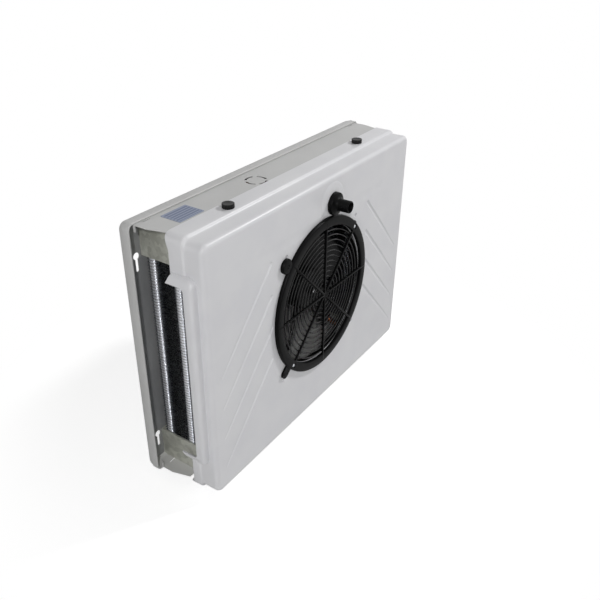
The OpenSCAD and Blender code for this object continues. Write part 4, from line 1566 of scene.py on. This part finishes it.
@dataclass
class DrainFitting:
    """The black drain fitting: a thick round flange that runs into the hose spigot."""

    x: float = 26.0
    z: float = 177.0
    spigot_r: float = 10.5
    bore_r: float = 8.0

    def build(self) -> bpy.types.Object:
        """Models the fitting and fixes it to the tray's body.

        Returns:
            The fitting.
        """
        bore, outer = self.bore_r, self.spigot_r
        profile = [
            (20.0, 3.0),
            (20.0, 8.3),
            (19.4, 9.5),
            (17.6, 10.2),
            (14.2, 11.2),
            (12.0, 12.6),
            (10.9, 14.6),
            (outer, 17.0),
            (outer, 33.4),
            (10.2, 34.5),
            (9.4, 35.0),
            (8.5, 34.7),
            (bore, 33.8),
            (bore, -8.7),
            (outer, -8.7),
            (outer, 3.0),
        ]
        fitting = revolve("drain_spigot", profile, PLAN.at(self.x, 0, self.z), 64, closed=True)
        return finish_piece(
            fitting, "cover_tray", GUARD_PLASTIC, ["drain_fitting"], 30
        )


# The thumb screws


@dataclass
class ThumbScrews:
    """Four captive thumb screws with a fluted head."""

    head_r: float = 9.5
    head_h: float = 7.0
    flutes: int = 16
    flute_share: float = 0.93
    rim: tuple[float, float] = (1.5, 2.6)
    dish: float = 0.6
    base_z: float = 230.0
    shank: tuple[float, float, float] = (3.0, 16.4, 4.8)

    def screw(self) -> bpy.types.Object:
        """The upper right screw: fluted drum with a crowned top, and its shank.

        Returns:
            The screw.
        """
        x, d, z = PLAN.knob_x, PLAN.knob_d, self.base_z
        deselect()
        bpy.ops.mesh.primitive_cylinder_add(
            vertices=self.flutes * 4,
            radius=self.head_r * MM,
            depth=self.head_h * MM,
            location=PLAN.at(x, d, z + self.head_h / 2),
        )
        head = settle(bpy.context.object)
        middle = PLAN.at(x, d, 0)
        for vertex in head.data.vertices:
            if vertex.index // 2 % 4 == 0:
                vertex.co.x = middle.x + (vertex.co.x - middle.x) * self.flute_share
                vertex.co.y = middle.y + (vertex.co.y - middle.y) * self.flute_share
        top = PLAN.at(0, 0, z + self.head_h).z
        select_faces(head, lambda c, n: n.z > 0.9 and abs(c.z - top) < NEAR)
        for width in self.rim:
            bpy.ops.mesh.inset(thickness=width * MM)
        bpy.ops.transform.translate(value=(0, 0, -self.dish * MM))
        bpy.ops.object.mode_set(mode="OBJECT")
        soften(head, 0.6, 2, 50)
        radius, length, drop = self.shank
        spot = PLAN.at(x, d, z - drop)
        shank = drum("screw_shank", spot, radius * MM, length * MM, (0, 0, 1), 24)
        return joined("thumb_screw", [head, soften(shank, 0.4, 2)])

    def build(self) -> list[bpy.types.Object]:
        """Models one screw, copies it to the four places and fixes each to its own body.

        Returns:
            The four screws.
        """
        first = self.screw()
        made = []
        for side in Side:
            for level, up in (("top", 1), ("bottom", -1)):
                name = f"thumb_screw_{level}_{side.name.lower()}"
                flip = Matrix.Diagonal((side.value, 1, up, 1))
                mid = PLAN.at(0, 0, 0).z
                move = Matrix.Translation((0, 0, mid)) @ flip @ Matrix.Translation((0, 0, -mid))
                twin = first.copy()
                twin.data = first.data.copy()
                bpy.context.collection.objects.link(twin)
                twin.data.transform(move)
                twin.name = f"fluted_{name}"
                DripTray.turn_out(twin)
                made.append(finish_piece(twin, f"{name}_body", NYLON, [name], 30))
        bpy.data.objects.remove(first, do_unlink=True)
        return made


# The sheet metal casing


@dataclass
class BackPanel:
    """The ceiling tray: a shallow pan with rounded corners, sloped flange, hem and four keyholes."""

    half: tuple[float, float] = (318.0, 230.0)
    front_d: float = 123.0
    slope_d: float = 134.0
    slope_in: float = 3.0
    hem: float = 3.0
    hem_r: float = 1.1
    rear_r: float = 1.6
    corner_r: float = 11.0
    # Where the grey painted shade inside the pan begins, sideways from the middle
    painted_shade_x: float = 213.0
    keyholes: tuple[float, float, float] = (290.0, 170.0, 5.0)
    head_r: float = 5.7
    slot: tuple[float, float] = (5.0, 23.0)

    def solid(self, inset: float, front_d: float, rear_d: float) -> bpy.types.Object:
        """The pan's outer form as a solid, or its hollow.

        Args:
            inset: How far the walls lie inside the outer form.
            front_d: Where it starts.
            rear_d: Where it ends behind.

        Returns:
            The solid.
        """
        x, z = (h - inset for h in self.half)
        obj = box("pan", PLAN.at(-x, front_d, -z), PLAN.at(x, self.slope_d, z))
        bevel_edges(obj, along_depth, self.corner_r - inset, 8)
        select_faces(obj, looks_back_at(PLAN.at(0, self.slope_d, 0).y))
        back = (0, (rear_d - self.slope_d) * MM, 0)
        bpy.ops.mesh.extrude_region_move(TRANSFORM_OT_translate={"value": back})
        shares = ((x - self.slope_in) / x, 1, (z - self.slope_in) / z)
        bpy.ops.transform.resize(value=shares, center_override=PLAN.at(0, rear_d, 0))
        bpy.ops.object.mode_set(mode="OBJECT")
        return obj

    def keyhole(self, x: float, z: float) -> list[bpy.types.Object]:
        """The cutters of one keyhole: its head, its slot and the slot's round end.

        Args:
            x: The head's sideways place in millimetres.
            z: Its height over the middle.

        Returns:
            The three cutters.
        """
        width, length = self.slot
        low, high = PLAN.at(x - width / 2, 141, z - length), PLAN.at(x + width / 2, 147, z)
        return [
            drum("keyhole_head", PLAN.at(x, 144, z), self.head_r * MM, 8 * MM, corners=40),
            box("keyhole_slot", low, high),
            drum("keyhole_end", PLAN.at(x, 144, z - length), width / 2 * MM, 8 * MM, corners=24),
        ]

    def build(self) -> bpy.types.Object:
        """Models the panel and fixes it to the casing.

        Returns:
            The panel.
        """
        panel = self.solid(0.0, self.front_d, PLAN.casing_d)
        bevel_edges(panel, at_depth(PLAN.at(0, PLAN.casing_d, 0).y), self.rear_r, 3)
        combine(panel, [self.solid(self.hem, self.front_d - 5, PLAN.casing_d - 1.0)])
        bevel_edges(panel, at_depth(PLAN.at(0, self.front_d, 0).y), self.hem_r, 3)
        x, z, drop = self.keyholes
        for sx in (-1, 1):
            for sz in (-1, 1):
                combine(panel, self.keyhole(sx * x, sz * z - drop))
        # Scores the pan where the grey painted shade of its inner ends begins
        split(panel, [(PLAN.at(x, 0, 0), (1, 0, 0)) for x in (-self.painted_shade_x, self.painted_shade_x)])
        panel.name = "ceiling_pan"
        finish_piece(panel, "casing", POWDER_COAT, ["back_panel"], 32)
        # The inner faces past the coils' ends take the darker grey painted shade
        return also_in(panel, PAINTED_SHADE_COAT, self.gets_painted_shade)

    def gets_painted_shade(self, centre: Vector, normal: Vector) -> bool:
        """Whether a face of the panel looks into the unit past the end of a coil, and so takes the grey
        painted shade.

        Args:
            centre: The face's centre in metres.
            normal: The way it looks.

        Returns:
            True for such a face.
        """
        d = centre.y / MM - PLAN.front_y
        x = abs(centre.x) / MM
        return normal.y < -0.5 and d > 140 and self.painted_shade_x < x < self.half[0] - self.hem


# The coils


@dataclass
class FinPack:
    """The fins of one coil with the collars that space them on the tubes."""

    side: Side
    fins: int = 66
    fin_t: float = 0.35
    wave: float = 0.45
    last_drop: float = 0.4
    collar_r: float = 7.35
    collar_sides: int = 14
    foot_share: float = 1.05

    def pitch(self) -> float:
        """How far apart the fins stand, in millimetres."""
        return (PLAN.coil_high - PLAN.coil_low - self.fin_t) / (self.fins - 1)

    def fin(self) -> bpy.types.Object:
        """The lowest fin of the right coil: a thin sheet with shallow waves along the air path.

        Returns:
            The fin.
        """
        deselect()
        bpy.ops.mesh.primitive_grid_add(x_subdivisions=8, y_subdivisions=4, size=2)
        obj = bpy.context.object
        obj.name = "fin"
        inner = PLAN.coil_x - PLAN.coil_w
        for vertex in obj.data.vertices:
            across, along = (vertex.co.x + 1) / 2, (vertex.co.y + 1) / 2
            wave = self.wave * math.sin(across * math.pi * 4)
            x = inner + PLAN.coil_w * across
            d = PLAN.coil_front_d + (PLAN.coil_rear_d - PLAN.coil_front_d) * along
            vertex.co = PLAN.at(x, d, PLAN.coil_low + self.fin_t / 2 + 0.2 + wave)
        DripTray.turn_out(obj)
        return with_modifier(obj, "SOLIDIFY", thickness=self.fin_t * MM, offset=0.0)

    def collar(self, x: float, d: float) -> bpy.types.Object:
        """The collar drawn up from the lowest fin round one tube, flared at its foot.

        Args:
            x: The tube's sideways place in millimetres.
            d: The tube's depth.

        Returns:
            The collar.
        """
        pitch = self.pitch()
        deselect()
        bpy.ops.mesh.primitive_cylinder_add(
            vertices=self.collar_sides,
            radius=self.collar_r * MM,
            depth=(pitch - 1.1) * MM,
            end_fill_type="NOTHING",
            location=PLAN.at(x, d, PLAN.coil_low + pitch / 2 + 0.3),
        )
        obj = settle(bpy.context.object)
        obj.name = "collar"
        foot = min(v.co.z for v in obj.data.vertices) + 0.1 * MM
        only(obj)
        centre = PLAN.at(x, d, 0)
        for vertex in obj.data.vertices:
            if vertex.co.z < foot:
                vertex.co.x = centre.x + (vertex.co.x - centre.x) * self.foot_share
                vertex.co.y = centre.y + (vertex.co.y - centre.y) * self.foot_share
        return with_modifier(obj, "SOLIDIFY", thickness=0.6 * MM, offset=-1.0)

    def build(self) -> bpy.types.Object:
        """Models one fin with its collars, stacks it and fixes the pack to the casing.

        Returns:
            The fin pack.
        """
        parts = [self.fin()] + [self.collar(x, d) for x, d in PLAN.tubes()]
        layer = joined("fin_layer", parts)
        mirror = Matrix.Diagonal((self.side.value, 1, 1, 1))
        pitch = self.pitch() * MM
        rises = [pitch * i for i in range(self.fins)]
        rises[-1] -= self.last_drop * MM
        moves = [mirror @ Matrix.Translation((0, 0, rise)) for rise in rises]
        name = self.side.name.lower()
        pack = copies(layer, moves, f"{name}_fin_pack")
        if self.side is Side.LEFT:
            only(pack)
            bpy.ops.object.mode_set(mode="EDIT")
            bpy.ops.mesh.select_all(action="SELECT")
            bpy.ops.mesh.flip_normals()
            bpy.ops.object.mode_set(mode="OBJECT")
        finish_piece(pack, "casing", FIN_STRIP, [f"{name}_coil_fins"], 30)
        # The collars take the brighter painted highlight
        return also_in(pack, COLLAR_PAINTED_HIGHLIGHT, lambda c, n: abs(n.z) < 0.35 and self.near_tube(c))

    def near_tube(self, place: Vector) -> bool:
        """Whether a place is on one of the collars.

        Args:
            place: A place in metres.

        Returns:
            True where a collar is.
        """
        d = place.y / MM - PLAN.front_y
        x = abs(place.x) / MM
        reach = self.collar_r + 1.2
        return any(math.hypot(x - tube_x, d - tube_d) < reach for tube_x, tube_d in PLAN.tubes())


# What stays as the frame has it


DRESSED: dict[str, Finish] = {
    "top_side_panel": POWDER_COAT,
    "bottom_side_panel": POWDER_COAT,
    "label_plate": RATING_PLATE,
    "left_top_tube_sheet": GALVANISED,
    "left_bottom_tube_sheet": GALVANISED,
    "right_top_tube_sheet": GALVANISED,
    "right_bottom_tube_sheet": GALVANISED,
    "left_coil_tubes": COPPER,
    "right_coil_tubes": COPPER,
    "left_return_bends": COPPER,
    "right_return_bends": COPPER,
    "liquid_line": COPPER,
    "suction_line": COPPER,
    "liquid_tee": BRASS_BRAZED,
    "suction_tee": BRASS_BRAZED,
    "pipe_clips": NITRILE,
    "motor_bracket": GALVANISED,
    "bracket_screws": ZINC_PLATE,
    "motor_housing": CAST_ALUMINIUM,
    "motor_end_cap": CAST_ALUMINIUM,
    "motor_screws": ZINC_PLATE,
    "motor_stator": LAMINATIONS,
    "motor_rotor": LAMINATIONS,
    "motor_shaft": GROUND_STEEL,
    "motor_front_bearing": GROUND_STEEL,
    "motor_rear_bearing": GROUND_STEEL,
    "fan_shroud": GUARD_PLASTIC,
    "drain_gasket": NITRILE,
    "drain_nut": GUARD_PLASTIC,
    "screw_clips": ZINC_PLATE,
    "terminal_box": TRAY_PLASTIC,
    "terminal_box_lid": TRAY_PLASTIC,
    "terminal_block": POLYAMIDE,
    "terminal_lid_screws": ZINC_PLATE,
    "cable_gland": NYLON,
}


# The studio


# Each lamp's name, place and target in metres, side in metres and watts
LAMPS: list[tuple[str, Sequence[float], Sequence[float], float, float]] = [
    # small and high on the right: throws the soft shadow to the left and lights the top
    ("overhead_softbox", (1.5, -1.05, 1.95), (0, 0, 0.2), 0.28, 28.5),
    # wide and low on the left: fills the end with the coil
    ("left_softbox", (-2.4, -0.3, 1.2), (0, 0, 0.25), 1.8, 5.0),
    # small, high behind the camera: lights the face and gives the black rings their glints
    ("camera_softbox", (-1.97, -1.31, 1.73), (-0.06, 0, 0.17), 0.12, 26.0),
]


@dataclass
class Studio:
    """A pale floor, soft light from above and the photograph's camera."""

    azimuth: float = -56.42
    elevation: float = 30.41
    roll: float = 0.667
    place: tuple[float, float, float] = (-0.9130, -0.6142, 0.8638)
    lens: float = 41.55
    sensor: float = 36.0
    shadow_reach: tuple[float, float] = (0.4, 0.62)
    floor_lift: float = 0.6
    sky: float = 0.17

    def camera(self) -> bpy.types.Object:
        """Places the camera as the photograph's was.

        Returns:
            The camera.
        """
        data = bpy.data.cameras.new("studio_camera")
        data.lens, data.sensor_width = self.lens, self.sensor
        obj = bpy.data.objects.new("studio_camera", data)
        bpy.context.collection.objects.link(obj)
        a, e, r = (math.radians(v) for v in (self.azimuth, self.elevation, self.roll))
        back = Vector((math.sin(a) * math.cos(e), -math.cos(a) * math.cos(e), math.sin(e)))
        right = Vector((math.cos(a), math.sin(a), 0))
        up = back.cross(right)
        right, up = right * math.cos(r) + up * math.sin(r), up * math.cos(r) - right * math.sin(r)
        turn = Matrix((right, up, back)).transposed().to_4x4()
        obj.matrix_world = Matrix.Translation(self.place) @ turn
        bpy.context.scene.camera = obj
        return obj

    def lamp(
        self, name: str, place: Sequence[float], target: Sequence[float], size: float, watts: float
    ) -> bpy.types.Object:
        """Adds one soft square lamp.

        Args:
            name: Its name.
            place: Where it hangs, in metres.
            target: Where it points.
            size: The length of its side in metres.
            watts: Its power.

        Returns:
            The lamp.
        """
        data = bpy.data.lights.new(name, "AREA")
        data.size, data.energy = size, watts
        obj = bpy.data.objects.new(name, data)
        bpy.context.collection.objects.link(obj)
        obj.location = place
        aim = Vector(target) - Vector(place)
        obj.rotation_euler = aim.to_track_quat("-Z", "Y").to_euler()
        return obj

    def world(self) -> None:
        """An even pale sky that the camera and mirrors see as plain white."""
        world = bpy.data.worlds.new("studio_sky")
        world.use_nodes = True
        tree = world.node_tree
        tree.nodes.clear()
        path = add_node(tree, "ShaderNodeLightPath")
        seen = add_node(
            tree, "ShaderNodeMath", {"operation": "MAXIMUM"},
            in0=path.outputs["Is Camera Ray"], in1=path.outputs["Is Transmission Ray"],
        )
        mirrored = add_node(
            tree,
            "ShaderNodeMath",
            {"operation": "MAXIMUM"},
            in0=seen.outputs[0],
            in1=path.outputs["Is Glossy Ray"],
        )
        strength = add_node(
            tree, "ShaderNodeMapRange", Value=mirrored.outputs[0], To_Min=self.sky, To_Max=1.0
        )
        background = add_node(
            tree, "ShaderNodeBackground", Color=linear("FFFFFF"), Strength=strength.outputs["Result"]
        )
        add_node(tree, "ShaderNodeOutputWorld", Surface=background.outputs["Background"])
        bpy.context.scene.world = world

    def floor(self) -> bpy.types.Object:
        """A wide matt floor: it keeps the unit's shadow, and the camera sees it white further off.

        Returns:
            The floor.
        """
        deselect()
        bpy.ops.mesh.primitive_plane_add(size=30, location=(0, 0, -0.0005))
        obj = settle(bpy.context.object)
        obj.name = "studio_floor"
        material = bpy.data.materials.new("matt_white_floor")
        material.use_nodes = True
        tree = material.node_tree
        tree.nodes.clear()
        matt = add_node(tree, "ShaderNodeBsdfPrincipled", Base_Color=linear("E6E6E6"), Roughness=0.9)
        path = add_node(tree, "ShaderNodeLightPath")
        place = add_node(tree, "ShaderNodeTexCoord").outputs["Object"]
        reach = add_node(tree, "ShaderNodeVectorMath", {"operation": "LENGTH"}, in0=place)
        far = add_node(
            tree,
            "ShaderNodeMapRange",
            {"interpolation_type": "SMOOTHSTEP"},
            Value=reach.outputs["Value"],
            From_Min=self.shadow_reach[0],
            From_Max=self.shadow_reach[1],
        )
        lift = add_node(
            tree,
            "ShaderNodeMath",
            {"operation": "MULTIPLY"},
            in0=path.outputs["Is Camera Ray"],
            in1=self.floor_lift,
        )
        pale = add_node(tree, "ShaderNodeEmission", Color=linear("FFFFFF"), Strength=lift.outputs[0])
        near = add_node(
            tree, "ShaderNodeAddShader", in0=matt.outputs["BSDF"], in1=pale.outputs["Emission"]
        )
        glow = add_node(tree, "ShaderNodeEmission", Color=linear("FFFFFF"), Strength=1.0)
        share = add_node(
            tree, "ShaderNodeMath", {"operation": "MULTIPLY"},
            in0=path.outputs["Is Camera Ray"], in1=far.outputs["Result"],
        )
        white = add_node(
            tree, "ShaderNodeMixShader", in0=share.outputs[0],
            in1=near.outputs["Shader"], in2=glow.outputs["Emission"],
        )
        add_node(tree, "ShaderNodeOutputMaterial", Surface=white.outputs["Shader"])
        obj.data.materials.append(material)
        return obj

    def build(self) -> None:
        """Sets the camera, the lamps, the sky and the floor."""
        self.camera()
        self.world()
        self.floor()
        for name, place, target, size, watts in LAMPS:
            self.lamp(name, place, target, size, watts)
        bpy.context.scene.view_settings.view_transform = "Standard"


def main() -> None:
    """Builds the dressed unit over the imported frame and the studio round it."""
    logging.basicConfig(level=logging.INFO, format="%(message)s")
    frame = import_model()
    for node, finish in DRESSED.items():
        dress_node(frame, node, finish)
    DripTray().build()
    FanGuard().build()
    FanSet().build()
    DrainFitting().build()
    ThumbScrews().build()
    BackPanel().build()
    for side in Side:
        FinPack(side).build()
    Studio().build()
    deselect()


if __name__ == "__main__":
    main()
